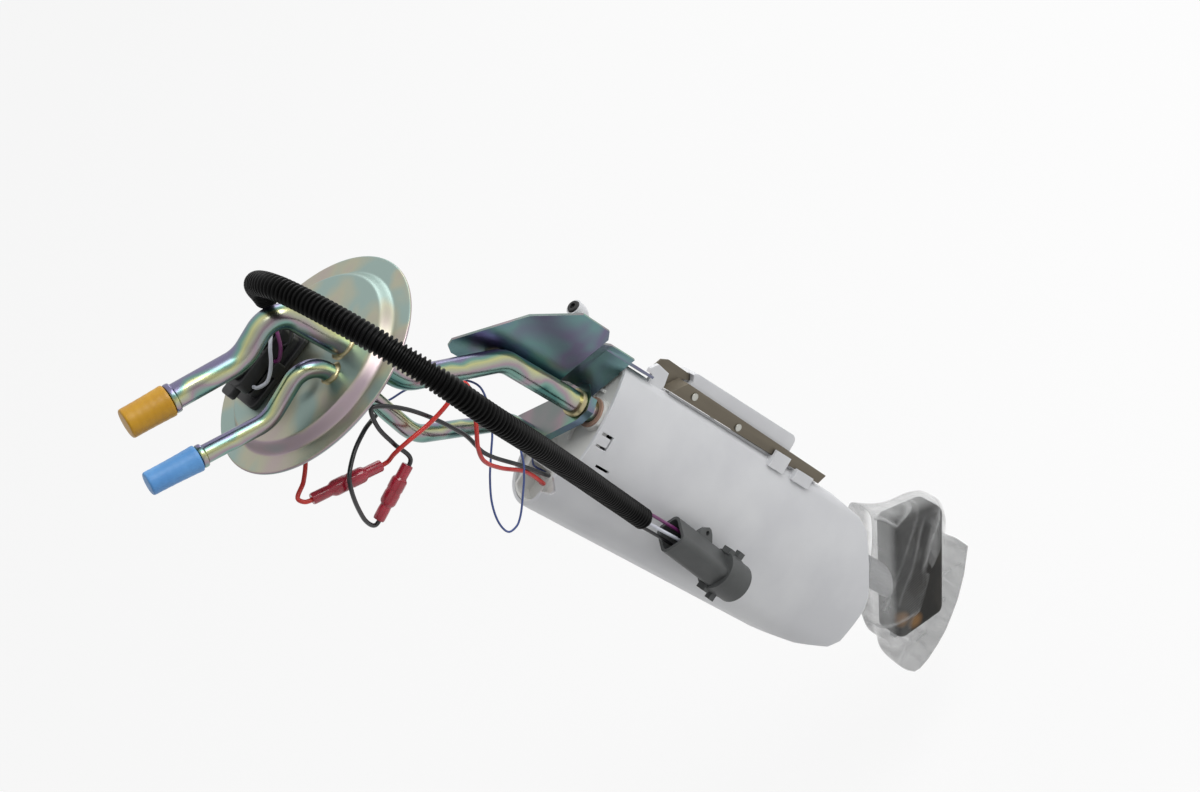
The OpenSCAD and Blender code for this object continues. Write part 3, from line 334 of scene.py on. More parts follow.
def finished(name: str, mesh: bpy.types.Mesh, finish: bpy.types.Material, body: str,
             stands_for: tuple[str, ...], sharp: float) -> bpy.types.Object:
    """Links a mesh as a smooth-shaded piece, with its material, body, slot and nodes.

    Args:
        name: the piece's name.
        mesh: its mesh, in metres in the row frame.
        finish: its material.
        body: the CAD body that it moves with.
        stands_for: the CAD nodes that it replaces.
        sharp: edges that turn more than this many degrees stay sharp.

    Returns:
        The new object.
    """
    mesh.polygons.foreach_set("use_smooth", np.ones(len(mesh.polygons), bool))
    mesh.set_sharp_from_angle(angle=math.radians(sharp))
    mesh.materials.append(finish)
    piece = bpy.data.objects.new(name, mesh)
    bpy.context.collection.objects.link(piece)
    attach(piece, body)
    if stands_for:
        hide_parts(*stands_for)
    LOG.info("%s: %d faces on %s", name, len(mesh.polygons), body)
    return piece


def softened(node: str, finish: bpy.types.Material, edge: float = 0.4,
             body: str = MODULE, segments: int = 2, limit: float = 32.0) -> bpy.types.Object:
    """Replaces a CAD node by a copy of itself with rounded edges and smooth shading.

    The copy's triangles are merged, flat neighbours become one face, and a bevel rounds
    every edge that turns more than the limit.

    Args:
        node: the CAD node.
        finish: its material.
        edge: width of the rounding.
        body: the CAD body that it moves with.
        segments: steps of the rounding.
        limit: smallest turn, in degrees, that is rounded.

    Returns:
        The new object.
    """
    same_point, flat_turn = 2e-6, math.radians(0.6)
    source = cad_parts[node].data
    points = np.empty(len(source.vertices) * 3)
    source.vertices.foreach_get("co", points)
    mesh = bpy.data.meshes.new(node + "_moulded")
    mesh.from_pydata(points.reshape(-1, 3).tolist(), [],
                     [tuple(p.vertices) for p in source.polygons])
    bm = bmesh.new()
    bm.from_mesh(mesh)
    bmesh.ops.remove_doubles(bm, verts=bm.verts, dist=same_point)
    bmesh.ops.dissolve_limit(bm, angle_limit=flat_turn, verts=bm.verts, edges=bm.edges)
    bmesh.ops.recalc_face_normals(bm, faces=bm.faces)
    bm.to_mesh(mesh)
    bm.free()
    piece = finished(node + "_moulded", mesh, finish, body, (node,), limit)
    bevel = piece.modifiers.new("edges", "BEVEL")
    bevel.width, bevel.segments, bevel.limit_method = edge * MM, segments, "ANGLE"
    bevel.angle_limit, bevel.use_clamp_overlap = math.radians(limit), True
    bevel.harden_normals = False
    return piece


def dress(finish: bpy.types.Material, *nodes: str) -> None:
    """Gives CAD nodes that are shown as they are their material.

    Args:
        finish: the material.
        nodes: names of the nodes.
    """
    for node in nodes:
        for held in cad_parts[node].material_slots:
            held.material = finish


# Finishes


def linear(code: str, alpha: float = 1.0) -> tuple:
    """Turns an sRGB hex code such as "#a0b0c0" into linear red, green, blue and alpha."""
    s = np.array([int(code[i:i + 2], 16) for i in (1, 3, 5)]) / 255
    return (*np.where(s <= 0.04045, s / 12.92, ((s + 0.055) / 1.055) ** 2.4).tolist(), alpha)


def add_node(tree: bpy.types.NodeTree, kind: str, sockets: dict | None = None,
             stops: Sequence[tuple[float, str]] = (), **settings: object) -> bpy.types.Node:
    """Adds a node with its settings, its colour stops and its links.

    Args:
        tree: the material's node tree.
        kind: Blender's name of the node type.
        sockets: input name or number to a value, or to the socket that feeds it.
        stops: (position, hex colour) pairs of a colour ramp.
        settings: attributes of the node.

    Returns:
        The new node.
    """
    node = tree.nodes.new(kind)
    for key, value in settings.items():
        setattr(node, key, value)
    for key, value in (sockets or {}).items():
        if isinstance(value, bpy.types.NodeSocket):
            tree.links.new(value, node.inputs[key])
        else:
            node.inputs[key].default_value = value
    for k, (position, code) in enumerate(stops):
        held = node.color_ramp.elements
        stop = held[k] if k < 2 else held.new(position)
        stop.position, stop.color = position, linear(code)
    return node


def empty_material(name: str) -> tuple[bpy.types.Material, bpy.types.NodeTree]:
    """Makes a material whose node tree is empty.

    Args:
        name: the material's name.

    Returns:
        The material and its tree.
    """
    material = bpy.data.materials.new(name)
    material.use_nodes = True
    material.node_tree.nodes.clear()
    return material, material.node_tree


@dataclass(frozen=True)
class Finish:
    """A moulded or drawn material whose colour wanders a little between two tones.

    The colour and the roughness change in patches, and the bump is a finer noise. Patch
    and grain are the real sizes of both, and stretch draws them out along an axis where
    it is small.
    """

    name: str
    dark: str
    light: str
    roughness: float = 0.4
    metallic: float = 0.0
    ior: float = 1.5
    patch: float = 18.0
    grain: float = 0.5
    bump: float = 0.05
    bump_height: float = 0.3
    coat: float = 0.0
    coat_roughness: float = 0.12
    scatter: float = 0.0
    scatter_depth: float = 2.5
    stretch: tuple = (1.0, 1.0, 1.0)
    roughness_swing: float = 0.06

    def make(self) -> bpy.types.Material:
        """Builds the material.

        Returns:
            The material with its nodes.
        """
        material, tree = empty_material(self.name)
        where = add_node(tree, "ShaderNodeTexCoord").outputs["Object"]
        turned = add_node(tree, "ShaderNodeMapping", {"Vector": where, "Scale": self.stretch})
        at = turned.outputs["Vector"]
        patches = add_node(tree, "ShaderNodeTexNoise",
                           {"Vector": at, "Scale": 1 / (self.patch * MM), "Detail": 3.0})
        ramp = add_node(tree, "ShaderNodeValToRGB", {"Fac": patches.outputs["Fac"]},
                        stops=[(0.35, self.dark), (0.65, self.light)])
        grain = add_node(tree, "ShaderNodeTexNoise",
                         {"Vector": at, "Scale": 1 / (self.grain * MM), "Detail": 2.0})
        rough = add_node(tree, "ShaderNodeMapRange", {
            "Value": patches.outputs["Fac"], "To Min": self.roughness - self.roughness_swing,
            "To Max": self.roughness + self.roughness_swing})
        relief = add_node(tree, "ShaderNodeBump", {
            "Height": grain.outputs["Fac"], "Strength": self.bump,
            "Distance": self.bump_height * MM})
        sockets = {"Base Color": ramp.outputs["Color"], "Roughness": rough.outputs["Result"],
                   "Metallic": self.metallic, "Normal": relief.outputs["Normal"]}
        if not self.metallic:
            sockets["IOR"] = self.ior
        if self.coat:
            sockets["Coat Weight"] = self.coat
            sockets["Coat Roughness"] = self.coat_roughness
        if self.scatter:
            sockets["Subsurface Weight"] = self.scatter
            sockets["Subsurface Radius"] = (1.0, 1.0, 1.0)
            sockets["Subsurface Scale"] = self.scatter_depth * MM
        shader = add_node(tree, "ShaderNodeBsdfPrincipled", sockets)
        add_node(tree, "ShaderNodeOutputMaterial", {"Surface": shader.outputs["BSDF"]})
        return material


class Plating(Enum):
    """Tones of the passivated zinc: its stops from one end of the film's colours to the other. A
    surface lands nearer the first stops as it faces down and nearer the last as it faces up:
    painted light and shade.
    """

    FLANGE = ("#93a3a1", "#a5a6a8", "#b3a2a8", "#b1a0a8", "#b1a5a0", "#b1b09c", "#9aaea8")
    TUBE = ("#48706c", "#789a90", "#9c8a94", "#a9ab98", "#c0c18c", "#6f978c", "#7a7692")
    SHEET = ("#6f8094", "#6e9090", "#747088", "#6c7c84", "#70a08c", "#93848a", "#74827e")


@dataclass(frozen=True)
class PassivatedZinc:
    """Zinc plating with a thick iridescent passivation film, on steel.

    The film's thickness sets its colour, which wanders in patches. The colour also moves along the
    stops with the way a surface faces, towards the last stops where it faces painted_light_way and
    towards the first where it faces away: painted light and shade.
    """

    name: str
    tone: Plating
    roughness: float
    patch: float
    # Painted light and shade: how far the colour moves along the stops with facing, and the way
    # that moves it towards the last ones
    painted_light_shift: float = 0.42
    painted_light_way: tuple = (0.62, 0.35, 0.70)
    first_stop: float = 0.12
    stop_gap: float = 0.125
    grain: float = 0.6
    roughness_swing: float = 0.07

    def make(self) -> bpy.types.Material:
        """Builds the material.

        Returns:
            The material with its nodes.
        """
        material, tree = empty_material(self.name)
        where = add_node(tree, "ShaderNodeTexCoord").outputs["Object"]
        film = add_node(tree, "ShaderNodeTexNoise", {
            "Vector": where, "Scale": 1 / (self.patch * MM), "Detail": 2.0, "Distortion": 0.4})
        # Painted light and shade: each surface's facing towards painted_light_way is added to the
        # film's patches before the stops
        faces = add_node(tree, "ShaderNodeNewGeometry")
        facing_light = add_node(tree, "ShaderNodeVectorMath", {
            0: faces.outputs["Normal"], 1: self.painted_light_way}, operation="DOT_PRODUCT")
        share = add_node(tree, "ShaderNodeMath", {
            0: facing_light.outputs["Value"], 1: self.painted_light_shift}, operation="MULTIPLY")
        thick = add_node(tree, "ShaderNodeMath", {
            0: film.outputs["Fac"], 1: share.outputs["Value"]}, operation="ADD")
        stops = [(self.first_stop + self.stop_gap * k, code)
                 for k, code in enumerate(self.tone.value)]
        ramp = add_node(tree, "ShaderNodeValToRGB", {"Fac": thick.outputs["Value"]}, stops=stops)
        grain = add_node(tree, "ShaderNodeTexNoise", {
            "Vector": where, "Scale": 1 / (self.grain * MM), "Detail": 2.0})
        rough = add_node(tree, "ShaderNodeMapRange", {
            "Value": film.outputs["Fac"], "To Min": self.roughness - self.roughness_swing,
            "To Max": self.roughness + self.roughness_swing})
        relief = add_node(tree, "ShaderNodeBump", {
            "Height": grain.outputs["Fac"], "Strength": 0.05, "Distance": 0.2 * MM})
        shader = add_node(tree, "ShaderNodeBsdfPrincipled", {
            "Base Color": ramp.outputs["Color"], "Roughness": rough.outputs["Result"],
            "Metallic": 1.0, "Normal": relief.outputs["Normal"]})
        add_node(tree, "ShaderNodeOutputMaterial", {"Surface": shader.outputs["BSDF"]})
        return material


@dataclass(frozen=True)
class WovenStrainer:
    """Woven polyamide filter cloth, dark grey brown, with two amber spots on its lower part that
    are a painted reflection of the film over it.

    The real thread spacing, about 0.1 mm, is too fine to show, so it is drawn at 0.9 mm.
    Blender's wave bands repeat every 0.314 / Scale.
    """

    name: str = "woven_polyamide_strainer"
    spacing: float = 0.9
    wave_period: float = 0.314
    blotch: float = 22.0
    # Middles of the two amber spots of painted reflection, and the sizes of their full core and of
    # their fading edge
    film_reflections: tuple = ((36.3, -23, -452.7), (40.4, -23, -463.5))
    reflection_core: float = 2.5
    reflection_edge: float = 7.0

    def make(self) -> bpy.types.Material:
        """Builds the material.

        Returns:
            The material with its nodes.
        """
        material, tree = empty_material(self.name)
        where = add_node(tree, "ShaderNodeTexCoord").outputs["Object"]
        threads = [add_node(tree, "ShaderNodeTexWave", {
            "Vector": where, "Scale": self.wave_period / (self.spacing * MM),
            "Distortion": 0.4}, wave_type="BANDS", bands_direction=way) for way in ("X", "Z")]
        weave = add_node(tree, "ShaderNodeMath", {
            0: threads[0].outputs["Fac"], 1: threads[1].outputs["Fac"]}, operation="ADD")
        blotches = add_node(tree, "ShaderNodeTexNoise", {
            "Vector": where, "Scale": 1 / (self.blotch * MM), "Detail": 4.0})
        ramp = add_node(tree, "ShaderNodeValToRGB", {"Fac": blotches.outputs["Fac"]}, stops=[
            (0.30, "#1b1b1b"), (0.55, "#272624"), (0.75, "#33302b")])
        # Painted reflection: amber mixed in round each spot's middle, three quarters strong in the
        # core and gone at the edge
        near = [add_node(tree, "ShaderNodeMapRange", {
            "Value": add_node(tree, "ShaderNodeVectorMath", {
                0: where, 1: [c * MM for c in spot]}, operation="DISTANCE").outputs["Value"],
            "From Min": self.reflection_core * MM, "From Max": self.reflection_edge * MM,
            "To Min": 0.75, "To Max": 0.0})
            for spot in self.film_reflections]
        most = add_node(tree, "ShaderNodeMath", {
            0: near[0].outputs["Result"], 1: near[1].outputs["Result"]}, operation="MAXIMUM")
        reflected_amber = add_node(tree, "ShaderNodeMix", {
            0: most.outputs["Value"], 6: ramp.outputs["Color"], 7: linear("#8f6a40")},
            data_type="RGBA")
        relief = add_node(tree, "ShaderNodeBump", {
            "Height": weave.outputs["Value"], "Strength": 0.35, "Distance": 0.3 * MM})
        shader = add_node(tree, "ShaderNodeBsdfPrincipled", {
            "Base Color": reflected_amber.outputs[2], "Roughness": 0.75, "Specular IOR Level": 0.3,
            "Normal": relief.outputs["Normal"]})
        add_node(tree, "ShaderNodeOutputMaterial", {"Surface": shader.outputs["BSDF"]})
        return material


@dataclass(frozen=True)
class ClearFilm:
    """Blown polyethylene film: clear where it lies on the strainer, milky where it hangs free.

    The piece's "haze" attribute holds how much of the film is seen at each point. The creases are
    one noise, drawn out across the bag: it bumps the film, and it makes more of the film seen along
    each crease as a painted highlight.
    """

    name: str = "clear_polyethylene_film"
    crease: float = 14.0

    def make(self) -> bpy.types.Material:
        """Builds the material.

        Returns:
            The material with its nodes.
        """
        material, tree = empty_material(self.name)
        where = add_node(tree, "ShaderNodeTexCoord").outputs["Object"]
        drawn = add_node(tree, "ShaderNodeMapping", {
            "Vector": where, "Rotation": (0.0, -0.7, 0.0), "Scale": (2.4, 1.0, 0.5)})
        creases = add_node(tree, "ShaderNodeTexNoise", {
            "Vector": drawn.outputs["Vector"], "Scale": 1 / (self.crease * MM), "Detail": 3.0,
            "Roughness": 0.5, "Distortion": 0.6})
        haze = add_node(tree, "ShaderNodeAttribute", attribute_name="haze")
        # Painted highlight: along the noise's creases more of the film is seen, from 0.85 to 1.2
        # times the haze
        ripple = add_node(tree, "ShaderNodeMapRange", {
            "Value": creases.outputs["Fac"], "From Min": 0.4, "From Max": 0.7,
            "To Min": 0.85, "To Max": 1.2})
        seen = add_node(tree, "ShaderNodeMath", {
            0: haze.outputs["Fac"], 1: ripple.outputs["Result"]}, operation="MULTIPLY")
        relief = add_node(tree, "ShaderNodeBump", {
            "Height": creases.outputs["Fac"], "Strength": 0.35, "Distance": 1.0 * MM})
        shader = add_node(tree, "ShaderNodeBsdfPrincipled", {
            "Base Color": linear("#b4b5b5"), "Roughness": 0.2, "IOR": 1.51,
            "Alpha": seen.outputs["Value"], "Normal": relief.outputs["Normal"]})
        add_node(tree, "ShaderNodeOutputMaterial", {"Surface": shader.outputs["BSDF"]})
        return material


ALL_FINISHES = (
    # Bright passivated zinc on pressed and bent steel: silvery with pink, green and yellow, shifted
    # with the way each surface faces as painted light and shade
    PassivatedZinc("passivated_zinc_flange", Plating.FLANGE, roughness=0.42, patch=34),
    PassivatedZinc("passivated_zinc_tube", Plating.TUBE, roughness=0.24, patch=30),
    PassivatedZinc("passivated_zinc_sheet", Plating.SHEET, roughness=0.3, patch=38),
    # Dipped soft vinyl: even colour, waxy gloss
    Finish("yellow_vinyl", "#b07f06", "#bb8b0a", roughness=0.42, scatter=0.1, patch=16),
    Finish("blue_vinyl", "#4f8ac5", "#5b96cf", roughness=0.44, scatter=0.1, patch=16),
    # Injection moulded glass-filled nylon: black, faint sheen
    Finish("black_nylon", "#141416", "#1f1f22", roughness=0.42, grain=0.8, bump=0.08),
    # Extruded polypropylene loom: black ridges, dulled by an IOR below the real 1.49
    Finish("black_polypropylene", "#050505", "#090909", ior=1.22, grain=0.7, bump=0.04),
    # Natural acetal: white, slightly see-through
    Finish("natural_acetal", "#c9cacd", "#d2d3d5", roughness=0.36, ior=1.48, scatter=0.25,
           patch=40, bump=0.02),
    Finish("natural_acetal_lid", "#c9c9c6", "#d5d5d2", roughness=0.36, ior=1.48,
           scatter=0.25, patch=30, bump=0.02),
    # Glass-filled polyester: mid grey, dull
    Finish("grey_polyester", "#3f4141", "#494b4b", roughness=0.5, patch=14, grain=0.7,
           bump=0.06),
    # Extruded wire insulation in its colours: soft plastic gloss
    Finish("red_insulation", "#b3201a", "#cc3026", roughness=0.3, coat=0.2, patch=10),
    Finish("black_insulation", "#121214", "#1d1d20", roughness=0.3, coat=0.2, patch=10),
    Finish("blue_insulation", "#35467c", "#43558f", roughness=0.32, coat=0.2, patch=10),
    Finish("white_insulation", "#b9bcc6", "#c9ccd6", roughness=0.3, coat=0.2, patch=10),
    Finish("purple_insulation", "#5b1e50", "#74306a", roughness=0.3, coat=0.2, patch=10),
    # Nylon sleeve over a crimp: red, glossy
    Finish("red_nylon_sleeve", "#8f1226", "#a81f36", roughness=0.24, coat=0.5, patch=6,
           scatter=0.15),
    # Plated screws, drawn shell and rolled strip: grey steel, the last two with long grain
    Finish("plated_steel", "#a9a9a3", "#bdbdb6", roughness=0.3, metallic=1.0, patch=6),
    Finish("drawn_steel", "#97968f", "#abaaa2", roughness=0.34, metallic=1.0, patch=20,
           stretch=(1.0, 1.0, 0.15)),
    Finish("rolled_steel_strip", "#645e54", "#787164", metallic=1.0, patch=14,
           stretch=(1.0, 1.0, 0.12), bump=0.12),
    # Nitrile rubber, moulded: matt black, or tan where it seals the lines
    Finish("nitrile_rubber", "#161617", "#202022", roughness=0.62, grain=0.6, bump=0.12),
    Finish("tan_rubber", "#8d6f5f", "#a08272", roughness=0.5, grain=0.6),
    # Moulded silicone seal: dull blue
    Finish("blue_silicone", "#33426a", "#41527c", roughness=0.5, grain=0.6),
    # Closed-cell foam of the float: black and rough
    Finish("closed_cell_foam", "#1a1a1b", "#252527", roughness=0.85, grain=0.9, bump=0.5),
    # Tinned brass and wound copper: warm metal, the winding ribbed along its height
    Finish("tinned_brass", "#a88a54", "#bf9f63", roughness=0.28, metallic=1.0, patch=5),
    Finish("wound_copper", "#8a5a34", "#a8703f", roughness=0.36, metallic=1.0, patch=4,
           stretch=(1.0, 1.0, 6.0), bump=0.4),
    # Printed ceramic card of the sender: pale, dull
    Finish("thick_film_card", "#b9b2a0", "#cfc8b6", roughness=0.55, patch=5),
    # Brazing metal at the lines: yellowish, a little dull
    Finish("braze_metal", "#a59b78", "#bab08c", roughness=0.36, metallic=1.0, patch=4,
           bump=0.2),
    WovenStrainer(),
    ClearFilm())


def make_finishes() -> Finishes:
    """Makes every finish once and returns them by name."""
    return {finish.name: finish.make() for finish in ALL_FINISHES}


# Sub-assemblies

# Tubes of both lines, the way that each tip points and its distance from the upper corner
SUPPLY_OD, RETURN_OD, LINE_WALL = 12.7, 9.5, 0.9
SUPPLY_SLOPE, RETURN_SLOPE = math.radians(33.7), math.radians(36.2)
SUPPLY_U = np.array([-math.cos(SUPPLY_SLOPE), 0, math.sin(SUPPLY_SLOPE)])
RETURN_U = np.array([-math.cos(RETURN_SLOPE), 0, math.sin(RETURN_SLOPE)])
SUPPLY_CORNER, RETURN_CORNER = np.array([-13, -22, 49.5]), np.array([-32.5, -28.5, 23.3])
SUPPLY_REACH, RETURN_REACH = 61.5, 64
SUPPLY_TIP = SUPPLY_CORNER + SUPPLY_REACH * SUPPLY_U
RETURN_TIP = RETURN_CORNER + RETURN_REACH * RETURN_U
SUPPLY_X_Y, RETURN_X_Y = (16, -22), (1.5, -28.5)
# The leaning flange with its raised centre, and the reservoir's rim and straight side
LEAN = math.radians(7.5)
DISH = Matrix.Rotation(LEAN, 4, "Y")
DISH_H, FLANGE_T = 5.5, 1.6
RIM_Z, SIDE_H = -156.0, 164
SIDE_END = RIM_Z - SIDE_H


def on_dish(x: float, y: float, z: float) -> Matrix:
    """Returns the matrix that stands a block on the flange's raised centre."""
    return DISH @ Matrix.Translation((x, y, DISH_H + FLANGE_T + z))


def disc_profile(radius: float, low: float, high: float, edge: float) -> Points:
    """Draws the section of a disc whose two rims are quarter rounds.

    Args:
        radius: the disc's radius.
        low: height of its underside.
        high: height of its top.
        edge: radius of the rims.

    Returns:
        An (n, 2) array of radii and heights, from the axis to the axis.
    """
    t = np.linspace(0, np.pi / 2, 5)
    lower = np.stack([radius - edge + edge * np.sin(t), low + edge - edge * np.cos(t)], 1)
    upper = np.stack([radius - edge + edge * np.cos(t), high - edge + edge * np.sin(t)], 1)
    return np.vstack([[[0, low]], lower, upper, [[0, high]]])


@dataclass
class TankFlange:
    """Pressed round flange with its raised centre, its two locating dents and the brazing."""

    finishes: Finishes
    radius: float = 63.5
    dish_radius: float = 48.0
    shoulder: float = 6.0
    # Round dents as (x, y, radius, depth)
    dents: tuple = ((-12, -20, 9, 0.9), (22, 24, 7, 0.7))
    fillet: float = 2.0

    def face(self, r: Points, under: bool) -> Points:
        """Height of the top or the underside over the rim's plane.

        The raised centre falls to the rim by half a cosine over the shoulder's width.

        Args:
            r: distances from the flange's middle.
            under: whether it is the underside.

        Returns:
            One height for each distance.
        """
        start = self.dish_radius - (FLANGE_T / 2 if under else 0)
        share = np.clip((r - start) / self.shoulder, 0, 1)
        return DISH_H * (1 + np.cos(np.pi * share)) / 2 + (0 if under else FLANGE_T)

    def build(self) -> None:
        """Makes the flange and the brazing round both lines.

        The section runs out over the top, round the half-circle edge and back below, and
        is turned about the middle. A dent is as deep as half a cosine from its own middle.
        """
        around, half = 240, FLANGE_T / 2
        flat, shoulder = np.linspace(0, 40, 26), np.linspace(40.5, 56, 44)
        inner, rim = np.concatenate([flat, shoulder]), np.linspace(57, 62, 5)
        t = np.linspace(0, np.pi, 9)
        r = np.concatenate([inner, rim, self.radius - half + half * np.sin(t), rim[::-1],
                            inner[::-1]])
        z = np.concatenate([self.face(inner, False), np.full_like(rim, FLANGE_T),
                            half + half * np.cos(t), np.zeros_like(rim),
                            self.face(inner[::-1], True)])
        turn = np.linspace(0, 2 * np.pi, around, endpoint=False)
        x, y = r[:, None] * np.cos(turn), r[:, None] * np.sin(turn)
        height = np.broadcast_to(z[:, None], x.shape).copy()
        for middle_x, middle_y, size, deep in self.dents:
            away = np.hypot(x - middle_x, y - middle_y) / size
            height -= deep * np.where(away < 1, (1 + np.cos(np.pi * np.minimum(away, 1))) / 2, 0)
        leaned = np.stack([x, y, height], axis=-1) @ np.array(DISH)[:3, :3].T
        put("tank_flange", Shell().grid(leaned), self.finishes["passivated_zinc_flange"],
            stands_for=("flange",), sharp=60)
        self.braze()

    def braze(self) -> None:
        """Makes the fillet of brazing metal round each line, above and below the sheet.

        At the share q of its section it stands out by size * q squared and up by size *
        (1 - q) squared. Its size wanders with three and with seven waves round the line,
        and it is sunk a little into the line and the sheet.
        """
        in_line, in_sheet, core_in_line, core_in_sheet = 0.02, 0.03, 0.05, 0.3
        lean_x, lean_z = math.sin(LEAN), math.cos(LEAN)
        turn = np.linspace(0, 2 * np.pi, 48, endpoint=False)
        share = np.linspace(0, 1, 7)[:, None]
        shell = Shell()
        for (middle_x, middle_y), od in ((SUPPLY_X_Y, SUPPLY_OD), (RETURN_X_Y, RETURN_OD)):
            size = self.fillet + 0.35 * np.sin(3 * turn + middle_x) + 0.2 * np.sin(7 * turn)
            r, up = od / 2 + size * share**2 - in_line, size * (1 - share) ** 2 - in_sheet
            x, y = middle_x + r * np.cos(turn), middle_y + r * np.sin(turn)
            core_r = od / 2 - core_in_line
            core_x, core_y = middle_x + core_r * np.cos(turn), middle_y + core_r * np.sin(turn)
            for level, way in ((DISH_H + FLANGE_T, 1), (DISH_H, -1)):
                z = (level - lean_x * x) / lean_z
                ring = np.stack([x, y, z + way * up], axis=-1)
                core = np.stack([core_x, core_y, z[0] - way * core_in_sheet], axis=-1)
                shell.grid(np.vstack([ring, core[None]]), loop_rows=True)
        put("line_brazing", shell, self.finishes["braze_metal"])


@dataclass
class FuelLines:
    """Supply and return line, with their beads and their soft transport caps."""

    finishes: Finishes
    # Where each line enters the lid, and the height at which both end
    supply_port: tuple = (49.5, -17.7)
    return_port: tuple = (22.5, 7)
    line_end: float = -180
    # Bend radii from the tip down, and the bead as (distance from the tip, half width, height)
    supply_bends: tuple = (20, 14, 22, 18)
    return_bends: tuple = (18, 13, 30, 26, 16)
    supply_bead: tuple = (23.5, 1.6, 1.2)
    return_bead: tuple = (27.4, 1.6, 1.2)
    # Collar of the supply line over its port, as (radius, height) round its section
    collar: tuple = ((6.3, 0), (7.6, 0), (8.05, 0.4), (8.05, 2.6), (7.7, 3.2), (6.3, 3.2))
    collar_z: float = -142.2
    cap_wall: float = 1.2
    cap_fit: float = 0.05

    def line(self, name: str, corners: Sequence[ArrayLike], bends: Sequence[float], od: float,
             bead: tuple, node: str) -> None:
        """Makes one bent line whose radius swells at its bead.

        At the share q of the bead's half width from its middle, the bead stands out by its
        height times the root of 1 - q to the fourth.

        Args:
            name: the piece's name.
            corners: the line's corners from its upper end.
            bends: bend radius of each inner corner.
            od: outer diameter.
            bead: distance from the upper end, half width and height of the bead.
            node: the CAD node that it replaces.
        """
        path = rounded_route(corners, bends, 0.8)
        s = along(path)
        at, half_width, height = bead
        beside = half_width + 0.6
        fine = np.unique(np.concatenate([s, at + np.linspace(-beside, beside, 15)]))
        fine = fine[(fine >= 0) & (fine <= s[-1])]
        path = np.stack([np.interp(fine, s, path[:, k]) for k in range(3)], axis=1)
        share = np.clip(np.abs(fine - at) / half_width, 0, 1)
        outer = od / 2 + height * np.sqrt(1 - share**4)
        put(name, Shell().pipe(path, outer, od / 2 - LINE_WALL, 40),
            self.finishes["passivated_zinc_tube"], stands_for=(node,))

    def cap(self, name: str, tip: Points, u: Points, od: float, length: float, flare: float,
            finish: bpy.types.Material, body: str) -> None:
        """Makes one dipped cap: a cup with a rounded end and a lip at its mouth.

        Its outside grows by the flare times the squared share of the way to the mouth,
        with a slow ripple on it.

        Args:
            name: the piece's name.
            tip: middle of the line's end.
            u: the way that the line's end points.
            od: the line's outer diameter.
            length: the cap's whole length.
            flare: how much wider its mouth is.
            finish: its material.
            body: the CAD body that it moves with, which its node is named for.
        """
        bore, wall, edge, lip, ripple = od / 2 + self.cap_fit, self.cap_wall, 1.2, 0.5, 0.04
        t = np.linspace(0, np.pi / 2, 8)
        end = np.stack([bore + wall - edge + edge * np.sin(t), edge * (np.cos(t) - 1)], 1)
        s = np.linspace(-edge, -length + lip, 24)
        share = (s + edge) / (edge - length)
        side = np.stack([bore + wall + flare * share**2 + ripple * np.sin(s * 1.7), s], 1)
        mouth = [(bore + wall + flare - 0.2, -length), (bore + 0.35, -length),
                 (bore, -length + 0.8), (bore, -wall), (0, -wall)]
        profile = np.vstack([[[0, 0]], end, side[1:], mouth])
        put(name, Shell().turned(profile, tip + u * (wall + self.cap_fit), u), finish,
            body, stands_for=(body,), sharp=50)

    def build(self) -> None:
        """Makes both lines, the supply line's collar and the caps."""
        x, y = SUPPLY_X_Y
        top, low = SUPPLY_CORNER[2], self.line_end
        self.line("supply_tube", [SUPPLY_TIP, SUPPLY_CORNER, (x, y, top), (x, y, -36),
                                  (*self.supply_port, -85), (*self.supply_port, low)],
                  self.supply_bends, SUPPLY_OD, self.supply_bead, "supply_line")
        x, y = RETURN_X_Y
        top = RETURN_CORNER[2]
        self.line("return_tube", [RETURN_TIP, RETURN_CORNER, (x, y, top), (x, y, -14),
                                  (x - 7, y, -54), (*self.return_port, -128),
                                  (*self.return_port, low)],
                  self.return_bends, RETURN_OD, self.return_bead, "return_line")
        put("supply_collar",
            Shell().turned(self.collar, (*self.supply_port, self.collar_z), (0, 0, 1), loop=True),
            self.finishes["braze_metal"])
        self.cap("supply_transport_cap", SUPPLY_TIP, SUPPLY_U, SUPPLY_OD, length=22.8, flare=0.5,
                 finish=self.finishes["yellow_vinyl"], body="supply_cap")
        self.cap("return_transport_cap", RETURN_TIP, RETURN_U, RETURN_OD, length=26.7, flare=0.7,
                 finish=self.finishes["blue_vinyl"], body="return_cap")


